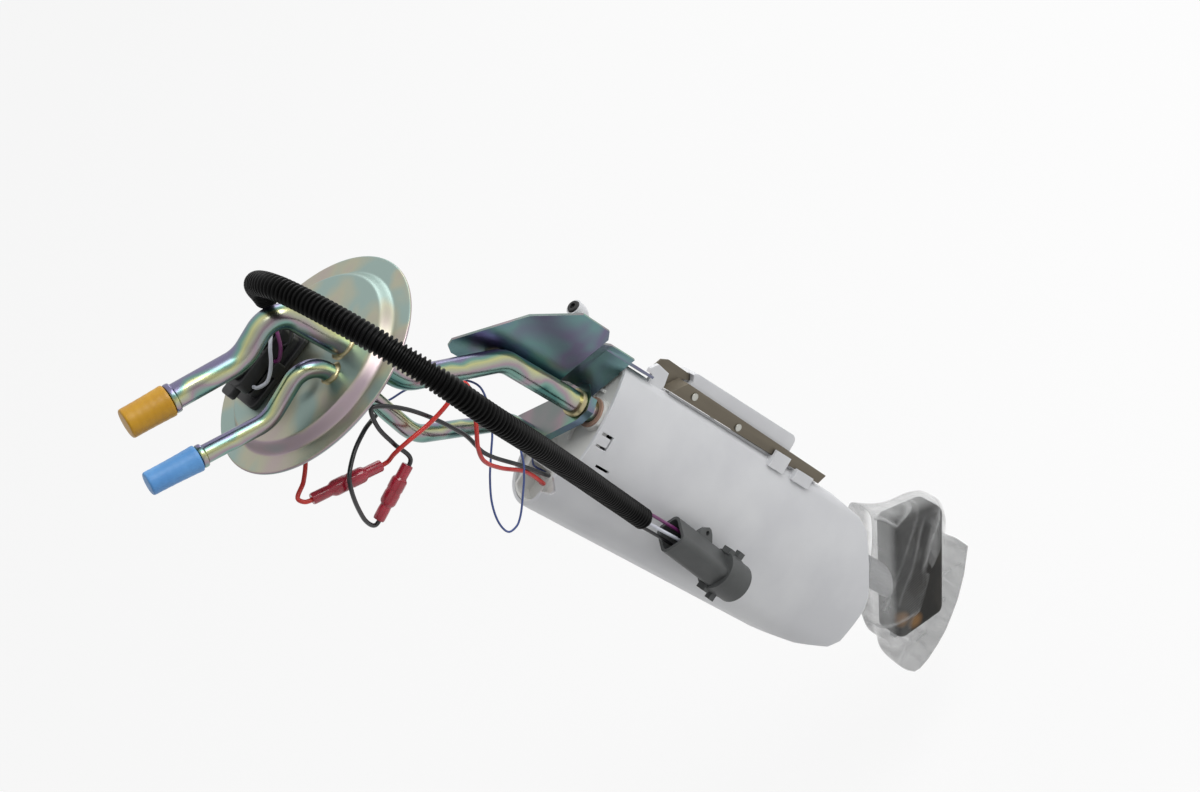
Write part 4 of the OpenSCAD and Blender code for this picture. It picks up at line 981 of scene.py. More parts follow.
@dataclass
class FlangeConnector:
    """Electrical connector in the flange and the plug on it.

    A block is given as its (width, depth, height, corner radius, edge radius) and the
    place of its foot on the raised centre, from the connector's middle.
    """

    finishes: Finishes
    at: tuple = (-14.0, 17.0)
    base: tuple = (
        ((46, 24, 3, 4, 0.7), (0, 0, 0.1)),
        ((38, 20, 5, 3, 0.6), (1, 0, 2.6)),
        ((8, 3, 6, 0.8, 0.4), (0, -11.5, 2.5)),
        ((8, 3, 6, 0.8, 0.4), (0, 11.5, 2.5)))
    plug: tuple = (
        ((40, 22, 8, 4, 1.0), (1, 0, 8.6)),
        ((33, 15, 6, 2, 0.5), (1, 0, 3.8)),
        ((16, 18, 4.6, 4, 1.2), (-8, 0, 16.0)),
        ((14, 19, 3.2, 3, 1.0), (11, 0, 16.0)),
        ((8, 10, 4.4, 2, 0.8), (-21, 0, 9.4)))
    # Finger ribs across the plug: one rib's block, the first one's place and their pitch
    rib: tuple = (1.1, 20, 1.2, 0.4, 0.3)
    first_rib: tuple = (-3.2, 0, 16.3)
    rib_pitch: float = 2.6
    ribs: int = 4
    # Spigot under the sheet
    spigot_radius: float = 11.0
    spigot_low: float = -12.0
    spigot_gap: float = 0.3

    def blocks(self, rows: Sequence[tuple]) -> Shell:
        """Gathers blocks that stand on the flange.

        Args:
            rows: the sizes and the place of each block.

        Returns:
            A shell of all of them.
        """
        shell = Shell()
        for sizes, (x, y, z) in rows:
            shell.block(*sizes, on_dish(self.at[0] + x, self.at[1] + y, z))
        return shell

    def build(self) -> None:
        """Makes the connector with its spigot, and the plug with its latch and ribs."""
        base = self.blocks(self.base)
        spigot = disc_profile(self.spigot_radius, self.spigot_low, -FLANGE_T - self.spigot_gap, 0.6)
        base.turned(spigot, on_dish(*self.at, 0).translation, DISH.to_3x3() @ Vector((0, 0, 1)))
        put("bulkhead_shell", base, self.finishes["black_nylon"],
            stands_for=("bulkhead_connector",))
        x, y, z = self.first_rib
        ribs = tuple((self.rib, (x + self.rib_pitch * k, y, z)) for k in range(self.ribs))
        put("harness_plug_shell", self.blocks(self.plug + ribs), self.finishes["black_nylon"],
            stands_for=("harness_plug",))


LOOM_ROUTE = ((16, 10, 36), (18, 6, 43), (19.5, 0, 50), (21, -8, 55.5), (22.5, -17, 58.5),
              (24, -27, 59.5), (25.5, -38, 57.5), (27, -55, 50), (28, -74, 37), (28, -91, 20),
              (27, -103, -3), (25, -106, -30), (23.5, -99, -62), (21.5, -85, -95),
              (19.5, -70, -127), (17.5, -57, -155), (15.5, -47, -184), (14, -43, -204))


@dataclass
class WiringLoom:
    """Corrugated loom from the flange's plug down to its own round-nosed plug."""

    finishes: Finishes
    outer: float = 6.25
    wall: float = 2.3
    pitch: float = 2.55
    depth: float = 1.35
    flatness: float = 2.2
    wire_radius: float = 1.0
    bundle_radius: float = 2.7
    plug_back: tuple = (14, -43, RIM_Z - 70)
    plug_u: Points = field(default_factory=lambda: unit([-6.5, -1.2, -60]))
    # Wires over the flange: name, finish, points, and angle in the loom's first end
    strands: tuple = (
        ("white_wire", "white_insulation",
         ((-25, 5.8, 20), (-24, 2.5, 19.5), (-19, 0.5, 18), (-11, 0.5, 21), (-3, 2, 26)), 200),
        ("purple_wire", "purple_insulation",
         ((-9, 5.8, 17), (-7, 2.5, 17.5), (-1, 1.5, 21), (5, 4, 26)), 80),
        ("dark_wire", "black_insulation",
         ((0, 5.8, 18), (3, 2.5, 17.5), (9, 3, 20), (14, 5, 25)), 320))
    # Wires at the loom's own plug: finish, (x, y) in the loom's last end, (x, y) in the plug
    tails: tuple = (("white_insulation", (-0.4, -3.2), (-0.4, 3.0)),
                    ("purple_insulation", (4.2, 0.6), (4.2, 0.5)),
                    ("black_insulation", (-4.2, 0.4), (-4.2, 0.2)))

    def strand_end(self, degrees: float, back: float) -> Points:
        """Point near the loom's first end, on a circle round its middle.

        Args:
            degrees: angle on the circle.
            back: how far the point lies before the end, or inside it where negative.

        Returns:
            The point.
        """
        into = unit(np.subtract(LOOM_ROUTE[1], LOOM_ROUTE[0]))
        side = unit(np.cross(into, [0, 1, 0]))
        turn = math.radians(degrees)
        out = math.cos(turn) * side + math.sin(turn) * np.cross(into, side)
        return np.array(LOOM_ROUTE[0]) - back * into + self.bundle_radius * out

    def in_plug(self, x: float, y: float, z: float) -> Points:
        """Turns a point of the plug's own frame into one of the row frame.

        Args:
            x: distance along the plug's first side.
            y: distance along its second side, which is level.
            z: distance from its open back to its nose.

        Returns:
            The point.
        """
        u = self.plug_u
        flat = np.array([u[0], u[1], 0]) / math.hypot(u[0], u[1])
        side_x = flat * u[2] - np.array([0, 0, math.sqrt(1 - u[2] ** 2)])
        side_y = np.array([-flat[1], flat[0], 0])
        return np.array(self.plug_back) + x * side_x + y * side_y + z * u

    def wire(self, name: str, route: Sequence[ArrayLike], finish: str, node: str,
             first: bool) -> bpy.types.Object:
        """Makes one wire of a bundle.

        Args:
            name: the piece's name.
            route: points that it passes through.
            finish: name of its finish.
            node: the CAD node of the whole bundle.
            first: whether this wire stands for that node.

        Returns:
            The new object.
        """
        return put(name, Shell().rod(smooth_route(route), self.wire_radius),
                   self.finishes[finish],
                   stands_for=(node,) if first else ())

    def build(self) -> None:
        """The corrugation is a cosine pressed towards its limits by a hyperbolic tangent, so
        that ridges and grooves are flat; both ends are cut in a groove.
        """
        path = smooth_route(LOOM_ROUTE, self.pitch / 8)
        s = along(path)
        wave = np.tanh(self.flatness * np.cos(2 * np.pi * s / self.pitch))
        wave /= math.tanh(self.flatness)
        outer = self.outer - self.depth * (1 - wave) / 2
        outer[[0, 1, -2, -1]] = self.outer - self.depth
        loom = put("corrugated_loom", Shell().pipe(path, outer, self.outer - self.wall, 28),
                   self.finishes["black_polypropylene"], stands_for=("loom",))
        for k, (name, finish, start, angle) in enumerate(self.strands):
            route = [*start, self.strand_end(angle, 5), self.strand_end(angle, -3)]
            self.wire("harness_" + name, route, finish, "harness_wires", k == 0)
        last = np.array(LOOM_ROUTE[-1], float)
        for k, (finish, at, pin) in enumerate(self.tails):
            off = last + np.array([*at, 0])
            route = [off + (0, 0, 6), off, off - (0, 0, 8), self.in_plug(*pin, 6),
                     self.in_plug(*pin, 20.05)]
            self.wire(f"plug_tail_{k}", route, finish, "plug_wires", k == 0)
        softened("loom_plug", self.finishes["grey_polyester"],
                                  0.5)
        dress(self.finishes["blue_silicone"], "plug_seal")
        dress(self.finishes["tinned_brass"], "plug_pins")


@dataclass
class LeadWires:
    """Red, black and blue leads under the flange, with their two crimped joints."""

    finishes: Finishes
    joint_a: tuple = ((-26.5, -33, -43), (-57, -33, -18))
    joint_b: tuple = ((-20, -34, -56), (-51.5, -34, -58))
    stub: float = 3.0
    grip: float = 8.8
    lead_radius: float = 1.2
    blue_radius: float = 0.6
    # Red lead from its terminal to joint a, and on from there to the flange
    red_up: tuple = (
        (2.6, -10, -164.2), (2.6, -10.8, -154.4), (3.4, -18.3, -150), (4.6, -23, -132),
        (0.5, -30.5, -110), (0, -35.5, -95), (4.6, -38, -85.4), (13, -39.3, -77.2),
        (22, -40, -68.4), (28.5, -40, -60.5), (30, -40, -55.4), (26, -40, -53.2),
        (16.8, -40, -53.4), (4.2, -39.5, -50.6), (-11, -39.2, -44.4), (-18.2, -37, -43.4))
    red_on: tuple = ((-60, -31, -12), (-52, -27, -12.5), (-42, -18, -12), (-30, -2, -8.5),
                     (-21, 9, -7.4), (-18, 12, -3.9))
    # Black lead from its terminal to joint b, and on from there to the flange
    black_up: tuple = (
        (8, -10, -164.2), (8, -10.8, -154.4), (8.4, -19, -149.5), (6.4, -24.4, -126),
        (3.4, -31.5, -96), (7, -34, -76), (5, -36, -40), (-3, -37, -18), (-10, -36, -27),
        (-14, -35, -42))
    black_on: tuple = ((-53.5, -36.5, -47.5), (-40, -41, -26.4), (-28, -33, -25.5),
                       (-16, -25, -29), (-1, -12, -38), (5, -1, -31), (-1, 9, -17),
                       (-9, 13, -9), (-10, 13, -4.2))
    # Blue lead from the flange to its terminal
    blue: tuple = (
        (-14, 21, -3.8), (-13.5, 21, -10), (-8, 19, -34), (-2, 16, -56.7), (11, 8, -61.1),
        (20.6, -2, -67.1), (29.9, -10, -75.4), (31.5, -15, -82.5), (26.5, -18, -90),
        (15.2, -21, -99.9), (3.6, -23, -106.2), (-7.1, -25, -111.9), (-17.9, -29, -118.5),
        (-25.2, -32, -127), (-26.9, -33, -135.1), (-20.4, -33, -137.5), (-5.7, -33, -130),
        (7.3, -31, -122.5), (14.2, -28, -117.3), (15.5, -19, -129), (14, -8, -140),
        (11.5, 0, -149), (8, 4, -156), (8, 4, -165.3))

    def into(self, joint: tuple, end: int) -> list[Points]:
        """Finds the two points by which a lead runs straight into a joint.

        Args:
            joint: both ends of the joint.
            end: 0 or 1, the end that the lead enters.

        Returns:
            The point before that end and the one inside it.
        """
        start, far = np.array(joint[end], float), np.array(joint[1 - end], float)
        return [start - unit(far - start) * self.stub, start + unit(far - start) * self.grip]

    def sleeve(self, shell: Shell, joint: tuple) -> None:
        """Adds one pair of insulated bullet terminals to a shell.

        The profile runs over the cable grip, the thick middle with the groove where both
        halves meet and the other grip, then back along the bore.

        Args:
            shell: the shell that takes it.
            joint: both ends of the joint.
        """
        start, end = np.array(joint[0], float), np.array(joint[1], float)
        n = float(np.linalg.norm(end - start))
        profile = [(1.5, 0), (2.8, 0), (3.1, 0.6), (3.05, 0.22 * n), (3.3, 0.24 * n),
                   (3.95, 0.26 * n), (4.2, 0.29 * n), (4.2, 0.44 * n), (3.95, 0.46 * n),
                   (3.95, 0.5 * n), (4.2, 0.52 * n), (4.2, 0.67 * n), (3.9, 0.7 * n),
                   (2.95, 0.74 * n), (3.1, 0.8 * n), (3.1, n - 1), (2.8, n), (1.5, n),
                   (1.3, n), (1.3, n - 9), (2.1, n - 9), (2.1, 9), (1.3, 9), (1.3, 0)]
        shell.turned(profile, start, end - start, around=32, loop=True)

    def build(self) -> None:
        """Makes the leads and the sleeves."""
        for colour, up, on, joint in (("red", self.red_up, self.red_on, self.joint_a),
                                      ("black", self.black_up, self.black_on, self.joint_b)):
            leads = Shell()
            for route in ([*up, *self.into(joint, 0)], [*self.into(joint, 1)[::-1], *on]):
                leads.rod(smooth_route(route, 0.8), self.lead_radius)
            put(colour + "_leads", leads, self.finishes[colour + "_insulation"],
                stands_for=(colour + "_wires",))
        put("blue_lead", Shell().rod(smooth_route(self.blue, 0.8), self.blue_radius, 10),
            self.finishes["blue_insulation"], stands_for=("blue_wire",))
        sleeves = Shell()
        self.sleeve(sleeves, self.joint_a)
        self.sleeve(sleeves, self.joint_b)
        put("crimp_insulators", sleeves, self.finishes["red_nylon_sleeve"],
            stands_for=("crimp_sleeves",))
        dress(self.finishes["plated_steel"], "crimp_barrels")


@dataclass
class Hanger:
    """Stepped hanger sheet with its cross plate, screws and the vent pipe behind it."""

    finishes: Finishes
    weld_middle: tuple = (50.0, -11.6, -81.8)
    weld_way: tuple = (-0.55, 0.32, 0.77)
    weld_half: float = 4.2
    weld_radius: float = 1.7
    ripple: float = 0.22
    ripple_pitch: float = 1.3

    def weld(self) -> None:
        """Makes the short weld between the sheet and the supply line.

        Its radius is a half ellipse along the seam with the sine of its ripples on it.
        """
        share, least_radius = np.linspace(-1, 1, 40), 0.05
        path = np.array(self.weld_middle) + share[:, None] * self.weld_half * unit(self.weld_way)
        wave = np.sin(2 * np.pi * share * self.weld_half / self.ripple_pitch)
        bulge = np.sqrt(np.clip(1 - share**2, 0, 1))
        radius = least_radius + bulge * (self.weld_radius + self.ripple * wave)
        put("hanger_weld", Shell().rod(path, radius, 20), self.finishes["braze_metal"])

    def build(self) -> None:
        """Makes the sheet metal, the weld, the screws and the vent."""
        softened("hanger", self.finishes["passivated_zinc_sheet"], 0.35)
        self.weld()
        softened("hanger_screws", self.finishes["plated_steel"], 0.25)
        softened("vent_tower", self.finishes["natural_acetal"], 0.3)
        softened("vent_cap", self.finishes["nitrile_rubber"], 0.2)


@dataclass
class ReservoirCan:
    """Moulded acetal reservoir with its recessed lid, line seals and terminals."""

    finishes: Finishes

    def build(self) -> None:
        """Makes the can and the lid and dresses what sits in the lid."""
        softened("reservoir", self.finishes["natural_acetal"], 1.0, segments=3)
        softened("lid", self.finishes["natural_acetal_lid"], 0.3)
        softened("line_seals", self.finishes["tan_rubber"], 0.2)
        dress(self.finishes["tinned_brass"], "lid_terminals")


@dataclass
class PumpInside:
    """The pump, its hoses and what lies with it in the reservoir."""

    finishes: Finishes

    def build(self) -> None:
        """Dresses the CAD nodes that stay as they are."""
        f = self.finishes
        dress(f["nitrile_rubber"], "outlet_hose", "return_hose", "isolator")
        dress(f["natural_acetal"], "cradle")
        dress(f["plated_steel"], "hose_clamps")
        dress(f["drawn_steel"], "pump_shell")
        dress(f["black_nylon"], "outlet_end", "inlet_end", "jet_pump")
        dress(f["natural_acetal"], "check_poppet")
        dress(f["wound_copper"], "armature")
        dress(f["red_insulation"], "pump_leads")


def from_line(x: Points, z: Points, line: ArrayLike) -> Points:
    """Distance of each point to a line of straight lengths, all in the x-z plane.

    For each length the point's foot is clamped between its ends, and the smallest of the
    distances to the feet counts.

    Args:
        x: first coordinates of the points.
        z: second coordinates of the points.
        line: (x, z) points that the lengths join.

    Returns:
        An array of distances, as many as there are points.
    """
    keys = np.asarray(line, float)
    start, way = keys[:-1], keys[1:] - keys[:-1]
    dx, dz = x[..., None] - start[:, 0], z[..., None] - start[:, 1]
    share = np.clip((dx * way[:, 0] + dz * way[:, 1]) / (way**2).sum(1), 0, 1)
    return np.hypot(dx - share * way[:, 0], dz - share * way[:, 1]).min(-1)


def outside_of(x: Points, z: Points, outline: ArrayLike) -> Points:
    """How far each point lies outside a convex clockwise outline.

    The distances to the outline's sides are taken outwards, and the largest counts.

    Args:
        x: first coordinates of the points.
        z: second coordinates of the points.
        outline: (x, z) corners.

    Returns:
        An array of distances, 0 for points inside.
    """
    keys = np.asarray(outline, float)
    way = np.roll(keys, -1, 0) - keys
    way /= np.linalg.norm(way, axis=1, keepdims=True)
    out = (z[..., None] - keys[:, 1]) * way[:, 0] - (x[..., None] - keys[:, 0]) * way[:, 1]
    return np.clip(out.max(-1), 0, None)


@dataclass
class Strainer:
    """Box-shaped strainer of filter cloth on its frame, in a clear film bag.

    Outlines are (x, z) points, with z from the end of the reservoir's straight side.
    """

    finishes: Finishes
    middle_y: float = -12.1
    # Corners of the cloth's outline, the film's room before it, and how round it is
    cloth_edge: tuple = ((85.6, -83.5), (112.1, -111.2), (54.9, -163.9), (22.5, -142.3))
    cloth_gap: float = 1.9
    cloth_corner: float = 6.0
    cloth_round: float = 4.5
    cloth_bulge: float = 1.2
    # The bag's half depth over the strainer and at its tail, and its wall as it is drawn
    half_depth: float = 13.3
    tail_half: float = 0.5
    film_wall: float = 0.45
    # Edges of the bag from its mouth to its tail, and how far the tail hangs past its chord
    left: tuple = ((33, -97), (26, -118), (20, -129), (19, -139), (12, -152), (9.7, -165),
                   (9.4, -175), (11, -183))
    right: tuple = ((84, -58), (93, -80), (108, -97), (113.5, -108), (109, -119), (98, -131),
                    (99, -150), (98.8, -164))
    tail: tuple = ((0, 0), (0.04, 3.6), (0.13, 7.5), (0.26, 10.6), (0.41, 12.8), (0.63, 11.4),
                   (0.81, 7.4), (1, 0))
    # Sharp creases in the front film, as their height and their line
    creases: tuple = (
        (1.3, ((81.8, -62.7), (83.9, -69.3), (84.7, -81.4), (95.6, -86.7), (108.7, -92.2))),
        (1.2, ((23, -117.2), (33.6, -129.6), (49.2, -143.3), (54.9, -161.9))),
        (1.0, ((112.6, -106.4), (102.7, -112.2), (86.1, -116.2), (74.2, -122.7), (62.7, -140),
               (53, -156.8))),
        (0.5, ((35.8, -112.4), (69.6, -102.6), (104.8, -91.5))),
        (0.5, ((43.4, -120.8), (63.9, -115.4), (97.6, -100.2))),
        (0.7, ((25.7, -163.6), (36.4, -172.1))),
        (0.7, ((22, -145.6), (40.9, -156.5), (58, -176))),
        (0.6, ((13, -161.6), (31.8, -155.8))),
        (0.6, ((70, -150), (88, -168))))
    crease_width: float = 1.3
    # Width of the painted highlight along each crease
    crease_highlight_width: float = 0.9
    # Where the front film stands off the cloth, down its right side
    veil: tuple = ((105.3, -110.6), (89.8, -117), (77, -128.8), (63.8, -147.3), (54.3, -161))
    veil_width: float = 4.5
    # How much of the film is seen on the cloth, and what is added where it hangs free, along the
    # creases as a painted highlight, and along the veil
    haze_on_cloth: float = 0.08
    haze_free: float = 0.30
    haze_crease_highlight: float = 0.22
    haze_veil: float = 0.2
    haze_limit: float = 0.9

    def build(self) -> None:
        """Makes the strainer and its bag."""
        softened("strainer_frame", self.finishes["natural_acetal"], 0.4)
        self.cloth()
        self.bag()

    def cloth_outline(self, around: int) -> tuple[Points, Points]:
        """Draws the cloth's outline with round corners.

        Every corner is an arc that touches both sides; its middle lies radius / sin(half
        the corner's angle) inside. Between arcs the outline runs straight.

        Args:
            around: how many evenly spaced points the outline has.

        Returns:
            Two (around, 2) arrays: the (x, z) points, and the ways that point out from them.
        """
        keys = np.array(self.cloth_edge, float)
        points, outward = [], []
        for before, at, after in zip(np.roll(keys, 1, 0), keys, np.roll(keys, -1, 0)):
            ways = unit(before - at), unit(after - at)
            half = math.acos(float(ways[0] @ ways[1])) / 2
            middle = at + unit(ways[0] + ways[1]) * self.cloth_corner / math.sin(half)
            reach = self.cloth_corner / math.tan(half)
            first, last = (unit(at + way * reach - middle) for way in ways)
            turn = np.linspace(0, np.pi - 2 * half, 12)[:, None]
            away = first * np.sin(turn[::-1]) + last * np.sin(turn)
            away /= np.linalg.norm(away, axis=1, keepdims=True)
            points.append(middle + self.cloth_corner * away)
            outward.append(away)
        line, away = np.vstack([*points, points[0][:1]]), np.vstack([*outward, outward[0][:1]])
        s = along(line)
        even = np.linspace(0, s[-1], around, endpoint=False)
        return tuple(np.stack([np.interp(even, s, a[:, k]) for k in (0, 1)], 1)
                     for a in (line, away))

    def cloth(self) -> None:
        """Makes the filter cloth as a pillow drawn over its frame.

        The front and back edges are quarter rounds. Both faces bulge: at the share q from
        the middle to the edge, by the bulge times 1 - q squared.
        """
        around, rim = 160, self.cloth_round
        line, away = self.cloth_outline(around)
        half = self.half_depth - self.cloth_gap
        flat, middle = line - rim * away, line.mean(0)
        face = [(middle + (flat - middle) * q, half + self.cloth_bulge * (1 - q**2))
                for q in np.linspace(0.04, 1, 12)[:-1]]
        rounds = [(line - rim * (1 - math.sin(t)) * away, half - rim + rim * math.cos(t))
                  for t in np.linspace(0, np.pi / 2, 6)]
        side = face + rounds
        rows = [(x_z, -y) for x_z, y in side] + side[::-1]
        grid = np.array([np.stack([x_z[:, 0], np.full(around, self.middle_y + y),
                                   SIDE_END + x_z[:, 1]], 1) for x_z, y in rows])
        put("filter_cloth", Shell().grid(grid, ends=True),
            self.finishes["woven_polyamide_strainer"],
            stands_for=("strainer_mesh",))

    def edge(self, keys: ArrayLike, rows: int) -> Points:
        """Spaces points evenly along a smooth curve.

        Args:
            keys: (x, z) points that the curve passes through.
            rows: how many points are returned.

        Returns:
            A (rows, 2) array.
        """
        flat = np.array(keys, float)
        line = smooth_route(np.stack([flat[:, 0], np.zeros(len(flat)), flat[:, 1]], 1), 1.0)
        even, s = np.linspace(0, 1, rows), along(line) / along(line)[-1]
        return np.stack([np.interp(even, s, line[:, 0]), np.interp(even, s, line[:, 2])], 1)

    def wall(self, rows: int, around: int, shrink: float) -> Points:
        """Draws one wall of the bag as a grid from its mouth to its sealed tail.

        Each row is a rounded rectangle between both edges: the cosine and sine of its turn
        to the power 0.4. Its half depth is the strainer's, falls by a smooth step to the
        tail's and closes at the last row. The front is raised along each crease by a bell
        curve of the crease's height, and both sides swing by slow sines.

        Args:
            rows: how many rows the wall has.
            around: how many points each row has.
            shrink: how far the wall lies inside the outer one.

        Returns:
            A (rows, around, 3) grid in the row frame.
        """
        squareness, tail_from, tail_power, flat_from, flat_over = 0.4, 0.72, 1.3, 0.6, 0.3
        low, high = self.edge(self.left, rows), self.edge(self.right, rows)
        down = np.linspace(0, 1, rows)[:, None]
        turn = np.linspace(0, 2 * np.pi, around, endpoint=False)
        across = np.sign(np.cos(turn)) * np.abs(np.cos(turn)) ** squareness
        deep = np.sign(np.sin(turn)) * np.abs(np.sin(turn)) ** squareness
        middle, half = (low + high) / 2, (high - low) / 2
        inset = (1 - shrink / np.linalg.norm(half, axis=1))[:, None]
        x = middle[:, :1] + half[:, :1] * inset * across
        z = middle[:, 1:] + half[:, 1:] * inset * across
        shares, hangs = np.array(self.tail).T
        tail_share = np.clip((down - tail_from) / (1 - tail_from), 0, 1)
        z = z - np.interp((across + 1) / 2, shares, hangs) * tail_share**tail_power
        step = np.clip((down - flat_from) / flat_over, 0, 1)
        swell = self.tail_half + (self.half_depth - self.tail_half) * (1 - step**2 * (3 - 2 * step))
        swell = np.where(down > 0.999, 0, np.clip(swell - shrink, 0.1, None))
        slow = 0.5 * np.sin(0.11 * x + 0.17 * z) + 0.4 * np.sin(0.23 * x - 0.13 * z + 1.9)
        ridges = self.bells(x, z, self.crease_width)
        rise = np.where(deep < 0, ridges - 0.6 + 0.5 * slow, -0.5 + 0.6 * slow)
        y = self.middle_y + swell * deep + np.sign(deep) * rise * np.clip(swell / 6, 0, 1)
        return np.stack([x, y, SIDE_END + z], axis=-1)

    def bells(self, x: Points, z: Points, width: float) -> Points:
        """Adds up a bell curve across each crease, as high as the crease.

        Args:
            x: first coordinates of the points.
            z: second coordinates of the points.
            width: distance at which a bell has fallen to 1 / e.

        Returns:
            One height for each point.
        """
        return sum(height * np.exp(-(from_line(x, z, line) / width) ** 2)
                   for height, line in self.creases)

    def bag(self) -> None:
        """Makes the bag from its outer and inner wall, which join round the open mouth.

        The film's haze is least on the cloth. It grows over 6 mm from 2 mm outside the cloth, and
        on the front by a bell curve across each crease, which is a painted highlight, and across
        the veil.
        """
        milky_from, milky_over = 2, 6
        outer, inner = self.wall(150, 240, 0), self.wall(140, 240, self.film_wall)
        bag = put("film_bag", Shell().grid(np.vstack([outer[::-1], inner])),
                  self.finishes["clear_polyethylene_film"],
                  stands_for=("strainer_bag",), sharp=180)
        points = np.empty(len(bag.data.vertices) * 3)
        bag.data.vertices.foreach_get("co", points)
        x, y, z = points.reshape(-1, 3).T / MM
        z = z - SIDE_END
        outside = outside_of(x, z, self.cloth_edge)
        milky = self.haze_free * np.clip((outside - milky_from) / milky_over, 0, 1)
        # Painted highlight along each crease of the front film
        crease_highlight = self.haze_crease_highlight * self.bells(x, z, self.crease_highlight_width)
        hung = self.haze_veil * np.exp(-(from_line(x, z, self.veil) / self.veil_width) ** 2)
        haze = self.haze_on_cloth + milky + np.where(y < self.middle_y, crease_highlight + hung, 0)
        held = bag.data.attributes.new("haze", "FLOAT", "POINT")
        held.data.foreach_set("value", np.clip(haze, 0, self.haze_limit).astype(np.float32))


@dataclass
class LevelSender:
    """Sender strip, housing, card and the float arm behind the reservoir."""

    finishes: Finishes

    def build(self) -> None:
        """Makes the strip, the housing, the arm and the float, and dresses the card."""
        f = self.finishes
        softened("sender_strip", f["rolled_steel_strip"], 0.25)
        softened("sender_rivets", f["plated_steel"], 0.2)
        softened("sender_housing", f["natural_acetal"], 0.7, segments=3)
        dress(f["thick_film_card"], "sender_card")
        softened("float_arm", f["plated_steel"], 0.15, body="float_lever")
        softened("arm_clip", f["natural_acetal"], 0.3, body="float_lever")
        softened("float", f["closed_cell_foam"], 0.8, body="float_lever",
                 segments=3)


# Studio


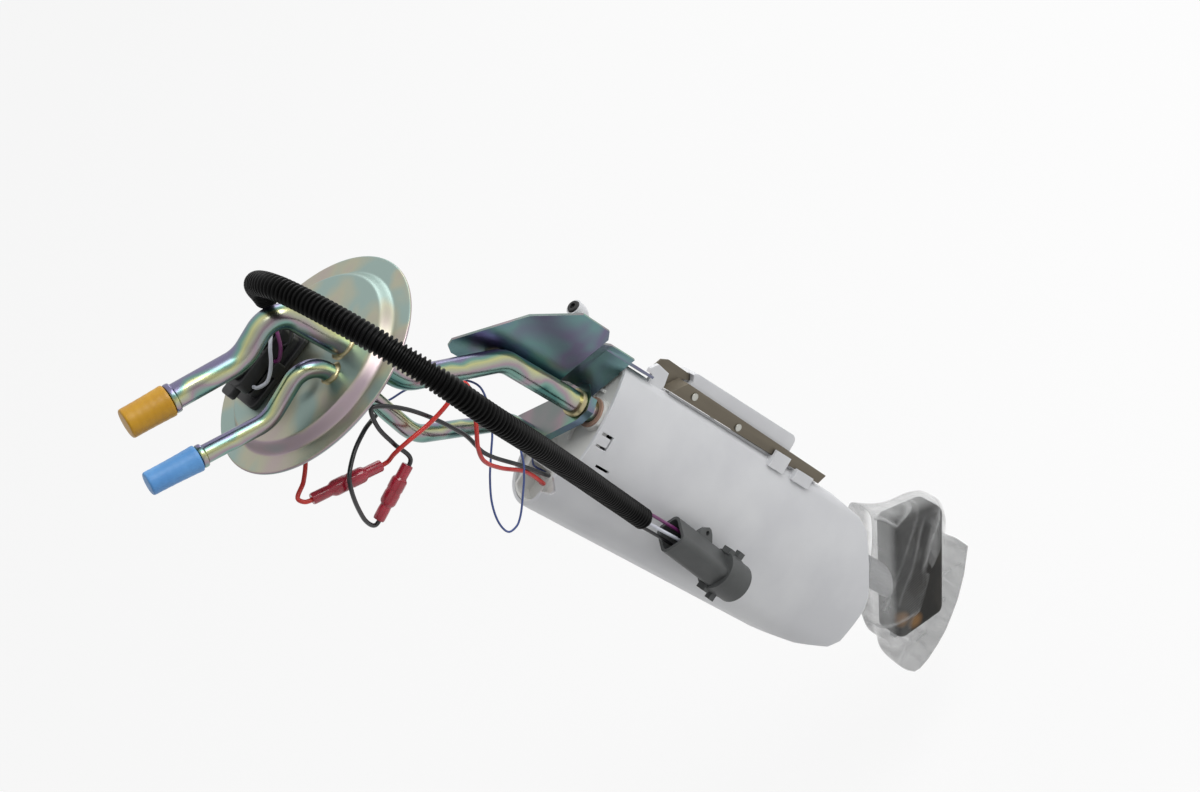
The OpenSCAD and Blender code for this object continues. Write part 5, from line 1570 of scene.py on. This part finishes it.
@dataclass
class Studio:
    """Pale floor, soft lamps and the camera at the photograph's viewing angle, in metres."""

    eye: tuple = (0.0594, -0.8566, 0.5264)
    look: tuple = (0.0, 0.7771, -0.6293)
    right: tuple = (0.5150, -0.5394, -0.6661)
    lens: float = 60.0
    sensor: float = 36.0
    floor_z: float = -0.58
    floor_radius: float = 9.0
    floor_white: float = 0.8
    # The brightest way of the tent, and the middle that the lamps shine at
    above: tuple = (0.79, 0.29, 0.54)
    aim: tuple = (0.02, -0.02, -0.18)
    # Lamps as (name, place, side, power)
    lamps: tuple = (("key", (0.75, -0.45, 0.45), 0.6, 5.5),
                    ("fill", (-0.4, -1.7, 0.7), 1.4, 1.0),
                    ("rim", (1.3, 1.0, 0.3), 0.8, 5.0))

    def camera(self) -> None:
        """Makes the camera from its place, its line of sight and its right-hand side."""
        data = bpy.data.cameras.new("camera")
        data.lens, data.sensor_width = self.lens, self.sensor
        data.clip_start, data.clip_end = 0.05, 60.0
        camera = bpy.data.objects.new("camera", data)
        back = -unit(self.look)
        right = unit(np.array(self.right) - back * (np.array(self.right) @ back))
        up = np.cross(back, right)
        turn = Matrix(np.stack([right, up, back], axis=1).tolist()).to_4x4()
        camera.matrix_world = Matrix.Translation(self.eye) @ turn
        bpy.context.collection.objects.link(camera)
        bpy.context.scene.camera = camera

    def lamp(self, name: str, place: tuple, side: float, power: float) -> None:
        """Adds a square lamp that shines at the middle of the module.

        Args:
            name: the lamp's name.
            place: where it stands.
            side: length of its sides.
            power: its power in watts.
        """
        data = bpy.data.lights.new(name, "AREA")
        data.size, data.energy = side, power
        lamp = bpy.data.objects.new(name, data)
        lamp.location = place
        way = Vector(self.aim) - Vector(place)
        lamp.rotation_euler = way.to_track_quat("-Z", "Y").to_euler()
        bpy.context.collection.objects.link(lamp)

    def floor(self) -> None:
        """Makes the floor: mostly white where it is seen, with the shadow kept."""
        around = 96
        mesh = bpy.data.meshes.new("floor")
        turn = np.linspace(0, 2 * np.pi, around, endpoint=False)
        points = np.stack([self.floor_radius * np.cos(turn), self.floor_radius * np.sin(turn),
                           np.full(around, self.floor_z)], 1)
        mesh.from_pydata(points.tolist(), [], [tuple(range(around))])
        floor = bpy.data.objects.new("floor", mesh)
        bpy.context.collection.objects.link(floor)
        material, tree = empty_material("pale_floor")
        matt = add_node(tree, "ShaderNodeBsdfDiffuse", {"Color": linear("#e9e9e9")})
        glow = add_node(tree, "ShaderNodeEmission", {"Color": (1, 1, 1, 1), "Strength": 1.0})
        path = add_node(tree, "ShaderNodeLightPath")
        seen = add_node(tree, "ShaderNodeMath", {
            0: self.seen(tree), 1: path.outputs["Is Glossy Ray"]}, operation="MAXIMUM")
        share = add_node(tree, "ShaderNodeMath", {
            0: seen.outputs["Value"], 1: self.floor_white}, operation="MULTIPLY")
        both = add_node(tree, "ShaderNodeMixShader", {
            "Fac": share.outputs["Value"], 1: matt.outputs["BSDF"], 2: glow.outputs["Emission"]})
        add_node(tree, "ShaderNodeOutputMaterial", {"Surface": both.outputs["Shader"]})
        mesh.materials.append(material)

    def seen(self, tree: bpy.types.NodeTree) -> bpy.types.NodeSocket:
        """Tells what the camera sees, straight or through something clear.

        Args:
            tree: the node tree that asks.

        Returns:
            A socket that is 1 for such rays and 0 for all others.
        """
        path = add_node(tree, "ShaderNodeLightPath")
        both = add_node(tree, "ShaderNodeMath", {
            0: path.outputs["Is Camera Ray"], 1: path.outputs["Is Transmission Ray"]},
            operation="MAXIMUM")
        return both.outputs["Value"]

    def world(self) -> None:
        """Makes the world: white where it is seen, and a tent of white cloth elsewhere.

        The tent is brightest towards the way above. Reflections show it from 0.40 to 0.95
        of white by a smooth step, and its light on the object grows evenly from 0.06 to 1.
        """
        world = bpy.data.worlds.new("studio")
        world.use_nodes = True
        tree = world.node_tree
        tree.nodes.clear()
        way = add_node(tree, "ShaderNodeTexCoord").outputs["Generated"]
        height = add_node(tree, "ShaderNodeVectorMath", {0: way, 1: self.above},
                          operation="DOT_PRODUCT")
        tent = add_node(tree, "ShaderNodeMapRange", {
            "Value": height.outputs["Value"], "From Min": -0.6, "From Max": 0.95,
            "To Min": 0.40, "To Max": 0.95}, interpolation_type="SMOOTHSTEP")
        soft = add_node(tree, "ShaderNodeMapRange", {
            "Value": height.outputs["Value"], "From Min": -1.0, "From Max": 1.0,
            "To Min": 0.06, "To Max": 1.0})
        path = add_node(tree, "ShaderNodeLightPath")
        glossy = add_node(tree, "ShaderNodeMix", {
            0: path.outputs["Is Glossy Ray"], 2: soft.outputs["Result"],
            3: tent.outputs["Result"]})
        level = add_node(tree, "ShaderNodeMix", {
            0: self.seen(tree), 2: glossy.outputs[0], 3: 1.0})
        light = add_node(tree, "ShaderNodeBackground", {
            "Color": (1, 1, 1, 1), "Strength": level.outputs[0]})
        add_node(tree, "ShaderNodeOutputWorld", {"Surface": light.outputs["Background"]})
        bpy.context.scene.world = world

    def build(self) -> None:
        """Sets up the whole studio."""
        self.camera()
        self.floor()
        self.world()
        for lamp in self.lamps:
            self.lamp(*lamp)
        bpy.context.scene.view_settings.view_transform = "Standard"


def main() -> None:
    """Builds the studio and every sub-assembly."""
    logging.basicConfig(level=logging.INFO, format="%(name)s: %(message)s")
    Studio().build()
    finishes = make_finishes()
    for kind in (TankFlange, FuelLines, FlangeConnector, WiringLoom, LeadWires, Hanger,
                 ReservoirCan, PumpInside, Strainer, LevelSender):
        LOG.info("building %s", kind.__name__)
        kind(finishes).build()


if __name__ == "__main__":
    main()
